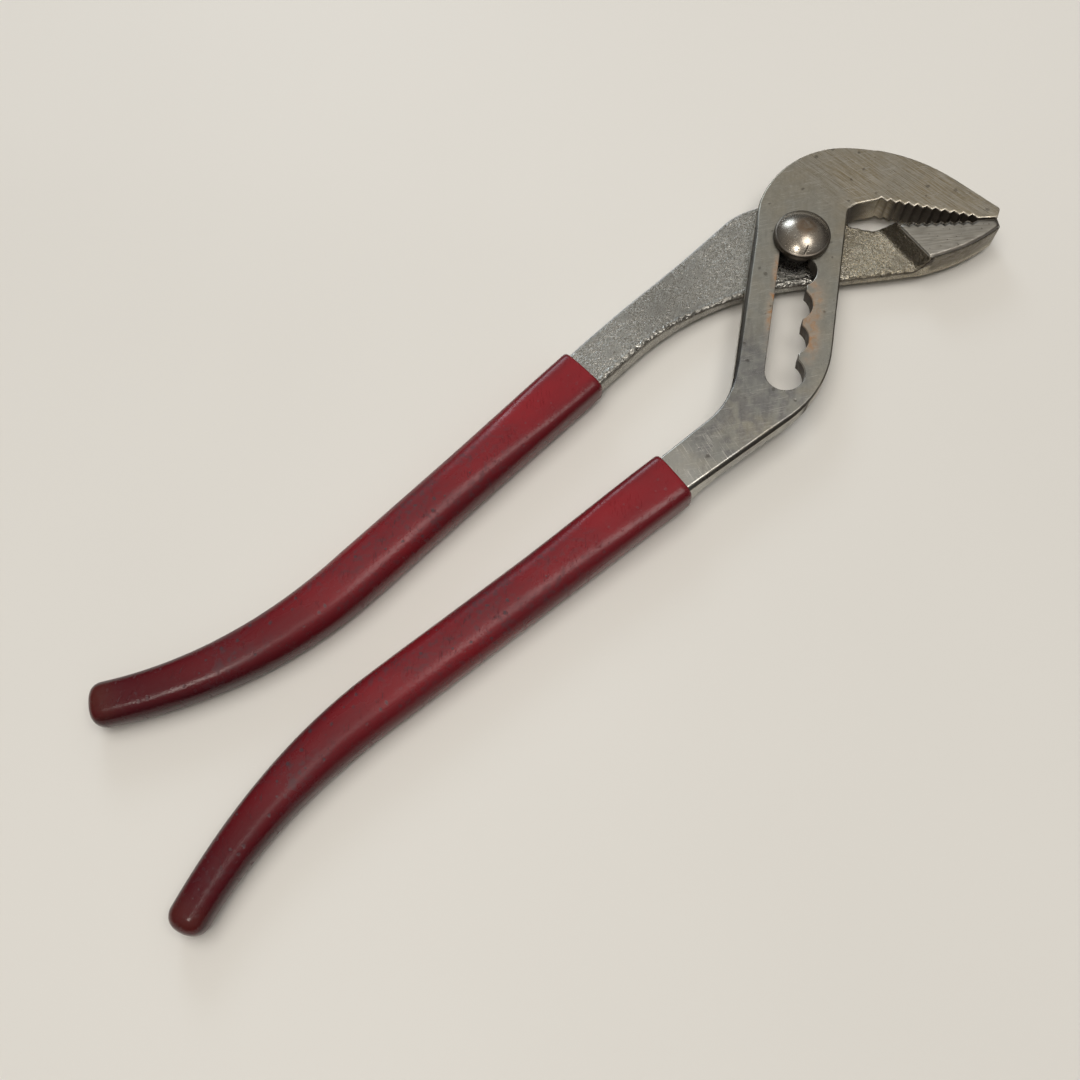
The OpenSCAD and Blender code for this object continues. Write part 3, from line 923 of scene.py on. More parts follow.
def piece_object(
    name: str, mesh: bpy.types.Mesh, material: bpy.types.Material
) -> bpy.types.Object:
    """Puts a finished mesh into the scene.

    Args:
        name: Piece's name.
        mesh: Its mesh, in the part's frame.
        material: Its only material.

    Returns:
        The object, at the origin.
    """
    mesh.materials.clear()
    mesh.materials.append(material)
    piece = bpy.data.objects.new(name, mesh)
    bpy.context.scene.collection.objects.link(piece)
    return piece


def shaped_piece(
    name: str, shape: bmesh.types.BMesh, material: bpy.types.Material
) -> bpy.types.Object:
    """Puts a built shape into the scene and frees it.

    Args:
        name: Piece's name.
        shape: The shape, in the part's frame.
        material: Its only material.

    Returns:
        The object, at the origin.
    """
    mesh = bpy.data.meshes.new(name)
    shape.to_mesh(mesh)
    shape.free()
    return piece_object(name, mesh, material)


def apply_modifiers(piece: bpy.types.Object) -> None:
    """Turns a piece with modifiers into a plain mesh.

    Args:
        piece: The piece, which keeps its materials.
    """
    depsgraph = bpy.context.evaluated_depsgraph_get()
    mesh = bpy.data.meshes.new_from_object(piece.evaluated_get(depsgraph))
    piece.modifiers.clear()
    old = piece.data
    piece.data = mesh
    bpy.data.meshes.remove(old)


def shade(piece: bpy.types.Object, sharp_angle: float) -> None:
    """Smooths a piece's shading, with flat faces kept flat beside rounded edges.

    Args:
        piece: The piece.
        sharp_angle: Angle from which an edge stays sharp.
    """
    piece.data.shade_smooth()
    piece.data.set_sharp_from_angle(angle=sharp_angle)
    weighted = piece.modifiers.new("flat_faces", "WEIGHTED_NORMAL")
    weighted.keep_sharp = True
    apply_modifiers(piece)


def dress(piece: bpy.types.Object, node: str, body: str) -> None:
    """Attaches a piece to the body that it moves with, and hides the node that it replaces.

    Args:
        piece: The piece.
        node: Node that it replaces.
        body: Body that it moves with.
    """
    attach(piece, body)
    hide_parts(node)
    log.info("%s: %d faces, rides on %s", piece.name, len(piece.data.polygons), body)


@dataclass(frozen=True)
class EdgeShape:
    """How a stretch of a top edge is broken.

    Attributes:
        width: Width in plan.
        depth: Height that it takes off the wall.
        roundness: 0 for a flat chamfer, 1 for a round.
    """

    width: float
    depth: float
    roundness: float

    def ring(self, share: float) -> tuple[float, float]:
        """Offset from the wall and drop below the top.

        Args:
            share: 0 at the wall, 1 at the top face.

        Returns:
            Offset and drop.
        """
        turn = share * math.pi / 2
        inward = share + (1.0 - math.cos(turn) - share) * self.roundness
        left = 1.0 - share
        drop = left + (1.0 - math.sin(turn) - left) * self.roundness
        return self.width * inward, self.depth * drop


@dataclass
class Forging:
    """A steel half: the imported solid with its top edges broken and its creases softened."""

    node: str
    body: str
    finish: Finish
    rings: int = 4
    pitch: float = 1.1 * MM
    crease: float = 0.2 * MM
    facing_up: float = 0.2
    crease_slope: float = math.radians(1.5)
    sharp_angle: float = math.radians(28)
    profile: tuple[np.ndarray, np.ndarray] = field(init=False, repr=False)

    def edge_shape(self, place: Vector, in_hole: bool) -> EdgeShape:
        """Shape of the top edge at a place, given by each half."""
        raise NotImplementedError

    def build(self, source: bpy.types.Object, material: bpy.types.Material) -> None:
        """Builds and dresses the half.

        Args:
            source: The half's node, which is copied.
            material: Its material.
        """
        steel = bmesh.new()
        steel.from_mesh(source.data)
        bmesh.ops.remove_doubles(steel, verts=steel.verts, dist=MERGE_DISTANCE)
        steel.normal_update()
        top = [face for face in steel.faces if face.normal.z > self.facing_up]
        self.profile = self._profile(top)
        bmesh.ops.delete(steel, geom=top, context="FACES")
        self._split_rim(steel)
        self._close_top(steel)
        steel.normal_update()
        piece = shaped_piece(f"{self.node}_steel", steel, material)
        shade(piece, self.sharp_angle)
        dress(piece, self.node, self.body)

    def _profile(self, top: Sequence[bmesh.types.BMFace]) -> tuple[np.ndarray, np.ndarray]:
        """Reads the top's height along the tool.

        Args:
            top: Faces of the top.

        Returns:
            Lengths, and the height at each.
        """
        places = sorted({(round(v.co.x, 5), v.co.z) for f in top for v in f.verts})
        lengths: list[float] = []
        heights: list[float] = []
        for length, height in places:
            if not lengths or length - lengths[-1] > 2 * MERGE_DISTANCE:
                lengths.append(length)
                heights.append(height)
        return np.array(lengths), np.array(heights)

    def crease_at(self, x: float) -> float:
        """Half of the length over which a crease of the top is softened."""
        return self.crease

    def height(self, x: float) -> float:
        """Height of the top at a length, with its creases softened.

        Args:
            x: Length along the tool.

        Returns:
            The height.
        """
        reach = self.crease_at(x)
        span = np.linspace(-reach, reach, 9)
        return float(np.mean(np.interp(x + span, *self.profile)))

    def crease_lines(self) -> list[float]:
        """Lengths at which the top is cut, so that it can bend there."""
        lengths, heights = self.profile
        slopes = np.arctan2(np.diff(heights), np.diff(lengths))
        bends = lengths[1:-1][np.abs(np.diff(slopes)) > self.crease_slope]
        cuts: set[float] = set()
        for x in bends:
            reach = self.crease_at(x)
            steps = np.linspace(-reach, reach, 5 + 2 * round(reach / MM))
            cuts.update(round(float(x + step), 6) for step in steps)
        return sorted(cuts)

    def _split_rim(self, steel: bmesh.types.BMesh) -> None:
        """Splits long edges round the open top.

        Args:
            steel: The half, without its top.
        """
        for edge in [e for e in steel.edges if e.is_boundary]:
            vert = edge.verts[0]
            parts = math.ceil(edge.calc_length() / self.pitch)
            for left in range(parts, 1, -1):
                edge, vert = bmesh.utils.edge_split(edge, vert, 1.0 / left)
                edge = next(e for e in vert.link_edges if e.is_boundary and e != edge)

    def _rims(self, steel: bmesh.types.BMesh) -> list[list[bmesh.types.BMVert]]:
        """Finds the loops round the open top, with the steel on their left.

        Args:
            steel: The half, without its top.

        Returns:
            The corners of each loop, in order.
        """
        after: dict[bmesh.types.BMVert, bmesh.types.BMVert] = {}
        for edge in steel.edges:
            if edge.is_boundary:
                corner = edge.link_loops[0]
                after[corner.link_loop_next.vert] = corner.vert
        rims = []
        while after:
            start = next(iter(after))
            rim = [start]
            while after[rim[-1]] is not start:
                rim.append(after[rim[-1]])
            for vert in rim:
                del after[vert]
            rims.append(rim)
        return rims

    def _close_top(self, steel: bmesh.types.BMesh) -> None:
        """Builds the broken edges and the top between them.

        Args:
            steel: The half, without its top.
        """
        drops = steel.verts.layers.float.new("drop")
        wear = steel.verts.layers.float.new("rim")
        faces: list[bmesh.types.BMFace] = []
        inner: list[bmesh.types.BMEdge] = []
        for rim in self._rims(steel):
            places = np.array([(v.co.x, v.co.y) for v in rim])
            inward = self._inward(places)
            in_hole = self._area(places) < 0.0
            shapes = [self.edge_shape(v.co.copy(), in_hole) for v in rim]
            row = rim
            for vert, shape in zip(rim, shapes):
                vert[drops] = shape.ring(0.0)[1]
                vert[wear] = 1.0
            for step in range(1, self.rings + 1):
                share = step / self.rings
                last, row = row, []
                for place, way, shape in zip(places, inward, shapes):
                    offset, drop = shape.ring(share)
                    vert = steel.verts.new((*(place + way * offset), 0.0))
                    vert[drops] = drop
                    vert[wear] = 1.0 - share
                    row.append(vert)
                for i in range(len(row)):
                    j = (i + 1) % len(row)
                    faces.append(steel.faces.new((last[i], last[j], row[j], row[i])))
            inner += [steel.edges.get((row[i - 1], row[i])) for i in range(len(row))]
        filled = bmesh.ops.triangle_fill(
            steel, edges=inner, use_beauty=True, use_dissolve=False, normal=(0, 0, 1)
        )
        faces += [f for f in filled["geom"] if isinstance(f, bmesh.types.BMFace)]
        for x in self.crease_lines():
            faces = self._cut(steel, faces, x)
        for vert in {v for face in faces for v in face.verts}:
            vert.co.z = self.height(vert.co.x) - vert[drops]
        steel.normal_update()
        for face in faces:
            if face.normal.z < 0.0:
                face.normal_flip()

    @staticmethod
    def _cut(
        steel: bmesh.types.BMesh, faces: Sequence[bmesh.types.BMFace], x: float
    ) -> list[bmesh.types.BMFace]:
        """Cuts the top across the tool.

        Args:
            steel: The half.
            faces: Faces of its top.
            x: Length at which they are cut.

        Returns:
            Faces of the top after the cut.
        """
        edges = {e for f in faces for e in f.edges}
        verts = {v for f in faces for v in f.verts}
        cut = bmesh.ops.bisect_plane(
            steel,
            geom=[*faces, *edges, *verts],
            dist=MERGE_DISTANCE / 10,
            plane_co=(x, 0, 0),
            plane_no=(1, 0, 0),
        )
        return [f for f in cut["geom"] if isinstance(f, bmesh.types.BMFace)]

    @staticmethod
    def _area(places: np.ndarray) -> float:
        """Signed area inside a loop."""
        after = np.roll(places, -1, axis=0)
        return float(np.sum(places[:, 0] * after[:, 1] - places[:, 1] * after[:, 0]) / 2)

    @staticmethod
    def _inward(places: np.ndarray) -> np.ndarray:
        """Works out the way into the steel at each corner of a loop.

        Args:
            places: Corners, with the steel on their left.

        Returns:
            The step for an offset of one, at each corner.
        """
        run = np.roll(places, -1, axis=0) - places
        run /= np.linalg.norm(run, axis=1, keepdims=True)
        left = np.column_stack([-run[:, 1], run[:, 0]])
        left_before = np.roll(left, 1, axis=0)
        bend = np.maximum(0.0, np.sum(left * left_before, axis=1, keepdims=True))
        return (left + left_before) / (1.0 + bend)


@dataclass
class SlottedHalf(Forging):
    """The half with the notched slot, the upper jaw and the lower handle."""

    node: str = "slotted_half"
    body: str = "slotted_half"
    finish: Finish = Finish.GROUND
    slot_edge: EdgeShape = EdgeShape(0.24 * MM, 0.2 * MM, 1.0)
    tooth_edge: EdgeShape = EdgeShape(0.3 * MM, 0.1 * MM, 0.2)
    back_width: float = 1.15 * MM
    back_depth: float = 0.62 * MM
    plain_width: float = 0.42 * MM
    plain_depth: float = 0.32 * MM
    root_width: float = 1.2 * MM
    root_depth: float = 0.85 * MM
    plain_round: float = 0.55
    back_round: float = 0.05
    teeth_end: float = 3 * MM
    teeth_front: float = 10.3 * MM
    teeth_top: float = 8 * MM
    back_across: Span = (-8.5 * MM, -10.6 * MM)
    back_starts: Span = (-11 * MM, 2 * MM)
    back_ends: Span = (46 * MM, 34 * MM)
    root_starts: Span = (-18 * MM, -38 * MM)
    root_low: Span = (-25 * MM, -31 * MM)

    def edge_shape(self, place: Vector, in_hole: bool) -> EdgeShape:
        """Shape of the top edge at a place.

        Args:
            place: Place on the top's outline.
            in_hole: Whether it lies on the slot.

        Returns:
            The edge's shape.
        """
        if in_hole:
            return self.slot_edge
        across = place.dot(SLOT_ACROSS)
        along = place.dot(SLOT_ALONG)
        in_front = along < self.teeth_end and across > self.teeth_front
        if in_front and place.y < self.teeth_top:
            return self.tooth_edge
        back = smooth_step(*self.back_across, across)
        back *= smooth_step(*self.back_starts, along) * smooth_step(*self.back_ends, along)
        root = smooth_step(*self.root_starts, place.x) * smooth_step(*self.root_low, place.y)
        width = self.plain_width + back * (self.back_width - self.plain_width)
        depth = self.plain_depth + back * (self.back_depth - self.plain_depth)
        width += root * (self.root_width - self.plain_width)
        depth += root * (self.root_depth - self.plain_depth)
        roundness = self.plain_round + back * (self.back_round - self.plain_round)
        return EdgeShape(width, depth, roundness)


@dataclass
class PivotHalf(Forging):
    """The half that turns on the bolt, with the lower jaw and the upper handle."""

    node: str = "pivot_half"
    body: str = "pivot_half"
    finish: Finish = Finish.FORGED
    bore_edge: EdgeShape = EdgeShape(0.3 * MM, 0.3 * MM, 0.0)
    tooth_edge: EdgeShape = EdgeShape(0.13 * MM, 0.11 * MM, 0.7)
    jaw_edge: EdgeShape = EdgeShape(1.1 * MM, 0.6 * MM, 0.2)
    plain_width: float = 0.75 * MM
    plain_depth: float = 0.55 * MM
    low_width: float = 1.35 * MM
    low_depth: float = 1.05 * MM
    ripple: float = 0.55
    ripple_length: float = 1.3 * MM
    pitch: float = 0.45 * MM
    ramp_crease: float = 7 * MM
    ramp_from: float = -19 * MM
    head_start: float = 20.5 * MM
    teeth_depth: float = 1.2 * MM
    low_starts: Span = (2 * MM, -4 * MM)
    low_tilt: float = 0.05
    least_ripple: float = 0.15
    plain_round: float = 0.9

    def crease_at(self, x: float) -> float:
        """Half of the length over which a crease is softened, longest on the handle's ramp."""
        return self.ramp_crease if x < self.ramp_from else self.crease

    def edge_shape(self, place: Vector, in_hole: bool) -> EdgeShape:
        """Shape of the top edge at a place.

        Args:
            place: Place on the top's outline.
            in_hole: Whether it lies on the bore.

        Returns:
            The edge's shape.
        """
        if in_hole:
            return self.bore_edge
        if place.x > self.head_start:
            over_face = over_mouth(place.x, place.y)
            return self.tooth_edge if over_face > -self.teeth_depth else self.jaw_edge
        low = smooth_step(*self.low_starts, place.y + self.low_tilt * place.x)
        width = self.plain_width + low * (self.low_width - self.plain_width)
        depth = self.plain_depth + low * (self.low_depth - self.plain_depth)
        swing = self.ripple * (self.least_ripple + (1.0 - self.least_ripple) * low)
        rough = 1.0 + swing * noise.noise(place / self.ripple_length)
        return EdgeShape(width * rough, depth * rough, self.plain_round)


@dataclass
class PivotBolt:
    """The domed bolt, turned round its axis, with a flat on its neck."""

    node: str = "pivot_bolt"
    body: str = "pivot_bolt"
    finish: Finish = Finish.BOLT
    segments: int = 128
    head_radius: float = 6.6 * MM
    rim_height: float = 1.1 * MM
    dome_height: float = 2.5 * MM
    rim_round: float = 0.45 * MM
    neck_radius: float = 4.4 * MM
    neck_flat: float = 2.5 * MM
    journal_radius: float = 4.0 * MM
    tail_radius: float = 3.0 * MM
    tail_chamfer: float = 0.3 * MM
    foot: float = 0.2 * MM
    dome_rows: int = 28
    rim_rows: int = 6
    dome_start: float = 0.01
    rim_start: float = 0.25
    under_head: float = 9.9 * MM
    under_plate: float = 5.8 * MM
    over_nut: float = 2.7 * MM
    sharp_angle: float = math.radians(34)

    def build(self, material: bpy.types.Material) -> None:
        """Builds and dresses the bolt.

        Args:
            material: Its material.
        """
        bolt = bmesh.new()
        rows = []
        for radius, height in self._outline():
            row = []
            for i in range(self.segments):
                turn = 2 * math.pi * i / self.segments
                place = Vector((radius * math.cos(turn), radius * math.sin(turn), height))
                if self.under_plate <= height <= self.under_head and radius <= self.neck_radius:
                    past = place.dot(SLOT_ACROSS) - self.neck_flat
                    place -= SLOT_ACROSS * max(0.0, past)
                row.append(bolt.verts.new(place))
            rows.append(row)
        for upper, lower in zip(rows, rows[1:]):
            for i in range(self.segments):
                j = (i + 1) % self.segments
                bolt.faces.new((upper[j], upper[i], lower[i], lower[j]))
        bolt.faces.new(rows[0])
        bolt.faces.new(list(reversed(rows[-1])))
        bmesh.ops.recalc_face_normals(bolt, faces=bolt.faces)
        piece = shaped_piece(f"{self.node}_turned", bolt, material)
        shade(piece, self.sharp_angle)
        dress(piece, self.node, self.body)

    def _outline(self) -> list[tuple[float, float]]:
        """Works out the turned outline.

        Returns:
            Radius and height of each row, from the dome's top down.
        """
        sphere = (self.head_radius**2 + self.dome_height**2) / (2 * self.dome_height)
        top = self.under_head + self.rim_height + self.dome_height
        sweep = math.asin((self.head_radius - self.rim_round) / sphere)
        rows = [
            (sphere * math.sin(turn), top - sphere * (1 - math.cos(turn)))
            for turn in np.linspace(self.dome_start, sweep, self.dome_rows)
        ]
        round_top = rows[-1][1]
        round_low = self.under_head + self.rim_height - self.rim_round
        for turn in np.linspace(self.rim_start, math.pi / 2, self.rim_rows):
            radius = self.head_radius - self.rim_round * (1 - math.sin(turn))
            rows.append((radius, round_low + (round_top - round_low) * math.cos(turn)))
        foot = self.foot
        rows += [
            (self.head_radius, self.under_head + foot),
            (self.head_radius - foot, self.under_head),
            (self.neck_radius + foot, self.under_head),
            (self.neck_radius, self.under_head),
            (self.neck_radius, self.under_plate),
            (self.journal_radius, self.under_plate - foot / 2),
            (self.journal_radius, self.over_nut),
            (self.tail_radius, self.over_nut),
            (self.tail_radius, self.tail_chamfer),
            (self.tail_radius - self.tail_chamfer, 0.0),
        ]
        return rows


@dataclass
class PivotNut:
    """The hexagon nut behind the pivot half, with its edges broken."""

    node: str = "pivot_nut"
    body: str = "pivot_nut"
    finish: Finish = Finish.BOLT
    edge_break: float = 0.14 * MM
    flat_angle: float = math.radians(0.5)
    sharp_angle: float = math.radians(30)

    def build(self, source: bpy.types.Object, material: bpy.types.Material) -> None:
        """Builds and dresses the nut.

        Args:
            source: The nut's node, which is copied.
            material: Its material.
        """
        nut = bmesh.new()
        nut.from_mesh(source.data)
        bmesh.ops.remove_doubles(nut, verts=nut.verts, dist=MERGE_DISTANCE)
        bmesh.ops.dissolve_limit(
            nut, angle_limit=self.flat_angle, verts=nut.verts, edges=nut.edges
        )
        edges = [e for e in nut.edges if e.is_manifold and e.calc_face_angle() > self.sharp_angle]
        bmesh.ops.bevel(
            nut,
            geom=edges,
            offset=self.edge_break,
            offset_type="OFFSET",
            segments=2,
            profile=0.5,
            affect="EDGES",
            clamp_overlap=True,
        )
        piece = shaped_piece(f"{self.node}_hexagon", nut, material)
        shade(piece, self.sharp_angle)
        dress(piece, self.node, self.body)


class GripTree:
    """Geometry nodes that sweep a grip's soft section along its bent handle."""

    SIDES = 96
    LEAD_ROWS = 4
    BODY_ROWS = 150
    CAP_ROWS = 16
    LUMP_STRETCH = (0.35, 1.0, 1.0)
    LUMP_SCALE = 130.0
    LUMP_LEVEL = 0.85
    LUMPS_START = (2 * MM, 8 * MM)

    def __init__(self, numbers: Iterable[str]) -> None:
        """Builds the tree.

        Args:
            numbers: Names of its number inputs.
        """
        self.tree = bpy.data.node_groups.new("dipped_grip_sweep", "GeometryNodeTree")
        self.sockets: dict[str, str] = {}
        for label in numbers:
            self._input(label, "NodeSocketFloat")
        self._input("Mouth", "NodeSocketVector")
        self._input("Coating", "NodeSocketMaterial")
        self.tree.interface.new_socket(
            "Geometry", in_out="OUTPUT", socket_type="NodeSocketGeometry"
        )
        self.bench = Bench(self.tree)
        self.entry = self.tree.nodes.new("NodeGroupInput")
        self._build()

    def _input(self, label: str, kind: str) -> None:
        """Adds a named input.

        Args:
            label: Its name.
            kind: Its socket type.
        """
        socket = self.tree.interface.new_socket(label, in_out="INPUT", socket_type=kind)
        self.sockets[label] = socket.identifier

    def given(self, name: str) -> Wire:
        """One of the tree's inputs."""
        return self.bench.wire(self.entry, name)

    def _swept(self, along: Wire, aside: Wire, up: Wire) -> Wire:
        """Bends a place on the straightened grip onto its handle.

        Args:
            along: Distance from the grip's mouth along its middle line.
            aside: Distance from that line across the handle.
            up: Height.

        Returns:
            The place in the part's frame.
        """
        bench = self.bench
        slope = self.given("Slope")
        side = self.given("Bend Side")
        radius = self.given("Bend Radius") * side
        past = bench.math("MAXIMUM", along - self.given("Straight"), 0.0)
        turned = slope + past / radius
        straight = bench.math("MINIMUM", along, self.given("Straight"))
        cos_0, sin_0 = bench.math("COSINE", slope), bench.math("SINE", slope)
        cos_1, sin_1 = bench.math("COSINE", turned), bench.math("SINE", turned)
        x = radius * (sin_0 - sin_1) - straight * cos_0 - aside * sin_1
        y = radius * (cos_1 - cos_0) - straight * sin_0 + aside * cos_1
        return bench.vector("ADD", self.given("Mouth"), bench.joined(x, y, up))

    def _build(self) -> None:
        """Places the nodes: rows from inside the mouth, over the lip, along and round the end."""
        bench = self.bench
        rows = self.LEAD_ROWS + self.BODY_ROWS + self.CAP_ROWS
        grid = bench.node(
            "GeometryNodeMeshGrid",
            {"Size X": 1.0, "Size Y": 1.0, "Vertices X": rows + 1, "Vertices Y": self.SIDES + 1},
        )
        here = bench.wire(self.tree.nodes.new("GeometryNodeInputPosition"))
        across_rows, round_section, _ = bench.split(here)
        row = (across_rows + 0.5) * float(rows)
        turn = (round_section + 0.5) * (2 * math.pi)

        into = (row - 1.0).clamped()
        outward = (row - 2.0).clamped()
        lip = (row - 3.0).clamped()
        body = ((row - float(self.LEAD_ROWS)) / float(self.BODY_ROWS)).clamped()
        cap_turn = (row - float(self.LEAD_ROWS + self.BODY_ROWS)) / float(self.CAP_ROWS)
        cap = bench.math("SINE", cap_turn.clamped() * (math.pi / 2))

        straight_l = self.given("Length") - self.given("Cap Length") - self.given("Lip Length")
        along = (1.0 - into) * self.given("Steel Depth") + lip * self.given("Lip Length")
        along = along + body * straight_l + cap * self.given("Cap Length")
        swell = bench.ramp(along, 0.0, self.given("Swell Length"))
        taper_from = self.given("Length") - self.given("Taper Length")
        taper = bench.ramp(along, taper_from, self.given("Length"))
        blunt = self.given("Cap Bluntness")
        share = bench.math("MAXIMUM", 1.0 - cap**blunt, 0.0) ** (1.0 / blunt)
        share = share * row.clamped()

        def size(kind: str) -> Wire:
            """Half the section's width or thickness along the grip."""
            mouth_to_body = bench.mixed(
                self.given(f"Mouth {kind}"), self.given(f"Body {kind}"), swell
            )
            outer = bench.mixed(mouth_to_body, self.given(f"End {kind}"), taper)
            outer = outer - (1.0 - lip) * self.given("Lip Depth")
            return bench.mixed(self.given(f"Steel {kind}"), outer, outward) * share * 0.5

        power = bench.mixed(self.given("Mouth Power"), self.given("Body Power"), swell)

        def soft(wave: Wire) -> Wire:
            """A wave with its crests flattened into a soft rectangle's sides."""
            return bench.math("SIGN", wave) * abs(wave) ** power

        aside = size("Width") * soft(bench.math("COSINE", turn))
        lift = size("Thickness") * soft(bench.math("SINE", turn))
        middle = bench.mixed(self.given("Mouth Height"), self.given("Body Height"), swell)
        unbent = bench.joined(along, aside, lift)

        stored = bench.node(
            "GeometryNodeStoreNamedAttribute",
            {"Geometry": bench.wire(grid), "Name": "unbent", "Value": unbent},
            data_type="FLOAT_VECTOR",
            domain="POINT",
        )
        feeds = {
            "Geometry": bench.wire(stored),
            "Position": self._swept(along, aside, middle + lift),
        }
        swept = bench.node("GeometryNodeSetPosition", feeds)
        feeds = {"Geometry": bench.wire(swept), "Distance": MERGE_DISTANCE}
        merged = bench.node("GeometryNodeMergeByDistance", feeds)
        uneven = self._uneven(bench.wire(merged))
        smooth = bench.node("GeometryNodeSetShadeSmooth", {"Geometry": uneven})
        real = bench.node("GeometryNodeRealizeInstances", {"Geometry": bench.wire(smooth)})
        feeds = {"Geometry": bench.wire(real), "Material": self.given("Coating")}
        coated = bench.node("GeometryNodeSetMaterial", feeds)
        target = self.tree.nodes.new("NodeGroupOutput")
        bench.feed(target.inputs["Geometry"], bench.wire(coated))

    def _uneven(self, geometry: Wire) -> Wire:
        """Makes the dipped skin a little uneven, inwards from its full size.

        Args:
            geometry: The swept grip.

        Returns:
            The uneven grip.
        """
        bench = self.bench
        feeds = {"Name": "unbent"}
        read = bench.node("GeometryNodeInputNamedAttribute", feeds, data_type="FLOAT_VECTOR")
        place = bench.wire(read, "Attribute")
        along, _, _ = bench.split(place)
        stretched = bench.vector("MULTIPLY", place, self.LUMP_STRETCH)
        lumps = bench.noise(stretched, self.LUMP_SCALE, 1.0) - self.LUMP_LEVEL
        depth = lumps * self.given("Unevenness") * bench.ramp(along, *self.LUMPS_START)
        normal = bench.wire(self.tree.nodes.new("GeometryNodeInputNormal"))
        offset = bench.vector("MULTIPLY", normal, bench.joined(depth, depth, depth))
        moved = bench.node("GeometryNodeSetPosition", {"Geometry": geometry, "Offset": offset})
        return bench.wire(moved)


@dataclass
class DippedGrip:
    """One dipped grip, swept along its handle."""

    SWEPT: ClassVar[tuple[str, ...]] = (
        *("slope", "straight", "bend_radius", "length", "unevenness"),
        *("body_width", "end_width", "body_thickness", "end_thickness", "steel_depth"),
        *("swell_length", "taper_length", "cap_length", "cap_bluntness"),
        *("mouth_power", "body_power", "lip_length", "lip_depth"),
    )

    node: str
    body: str
    mouth: Span
    slope: float
    straight: float
    bend_radius: float
    bend_side: BendSide
    length: float
    end_width: float
    steel_low: float
    steel_high: float
    cap_bluntness: float
    finish: Finish = Finish.GRIP
    steel_width: float = 10 * MM
    wall: float = 1.2 * MM
    body_width: float = 12.2 * MM
    body_thickness: float = 10.4 * MM
    end_thickness: float = 8.2 * MM
    swell_length: float = 41 * MM
    taper_length: float = 65 * MM
    cap_length: float = 3.8 * MM
    mouth_power: float = 0.46
    body_power: float = 0.8
    lip_length: float = 0.4 * MM
    lip_depth: float = 0.4 * MM
    steel_depth: float = 2 * MM
    hidden: float = 0.4 * MM
    unevenness: float = 0.12 * MM

    def sizes(self) -> dict[str, float]:
        """Works out the sweep's inputs.

        Returns:
            Value of each number, by its name in the tree.
        """
        steel = self.steel_high - self.steel_low
        worked_out = {
            "Bend Side": self.bend_side.value,
            "Mouth Width": self.steel_width + 2 * self.wall,
            "Mouth Thickness": steel + 2 * self.wall,
            "Mouth Height": (self.steel_high + self.steel_low) / 2,
            "Body Height": self.body_thickness / 2,
            "Steel Width": self.steel_width - 2 * self.hidden,
            "Steel Thickness": steel - 2 * self.hidden,
        }
        taken = {name.replace("_", " ").title(): getattr(self, name) for name in self.SWEPT}
        return {**taken, **worked_out}

    def build(self, tree: GripTree, material: bpy.types.Material) -> None:
        """Builds and dresses the grip.

        Args:
            tree: The sweep.
            material: Its material.
        """
        name = f"{self.node}_dipped"
        piece = piece_object(name, bpy.data.meshes.new(name), material)
        sweep = piece.modifiers.new("sweep", "NODES")
        sweep.node_group = tree.tree
        for label, value in self.sizes().items():
            sweep[tree.sockets[label]] = value
        sweep[tree.sockets["Mouth"]] = (*self.mouth, 0.0)
        sweep[tree.sockets["Coating"]] = material
        piece.update_tag()
        apply_modifiers(piece)
        dress(piece, self.node, self.body)


@dataclass(frozen=True)
class Lamp:
    """A soft round lamp, aimed at the tool."""

    name: str
    place: Place
    aim: Place
    size: float
    power: float
    colour: Colour
    mirrored: bool = True

    def build(self) -> None:
        """Builds the lamp."""
        light = bpy.data.lights.new(self.name, "AREA")
        light.shape = "DISK"
        light.size = self.size
        light.energy, light.color = self.power, self.colour
        lamp = bpy.data.objects.new(self.name, light)
        lamp.visible_glossy = self.mirrored
        way = Vector(self.aim) - Vector(self.place)
        lamp.matrix_world = Matrix.LocRotScale(
            Vector(self.place), way.to_track_quat("-Z", "Y"), None
        )
        bpy.context.scene.collection.objects.link(lamp)


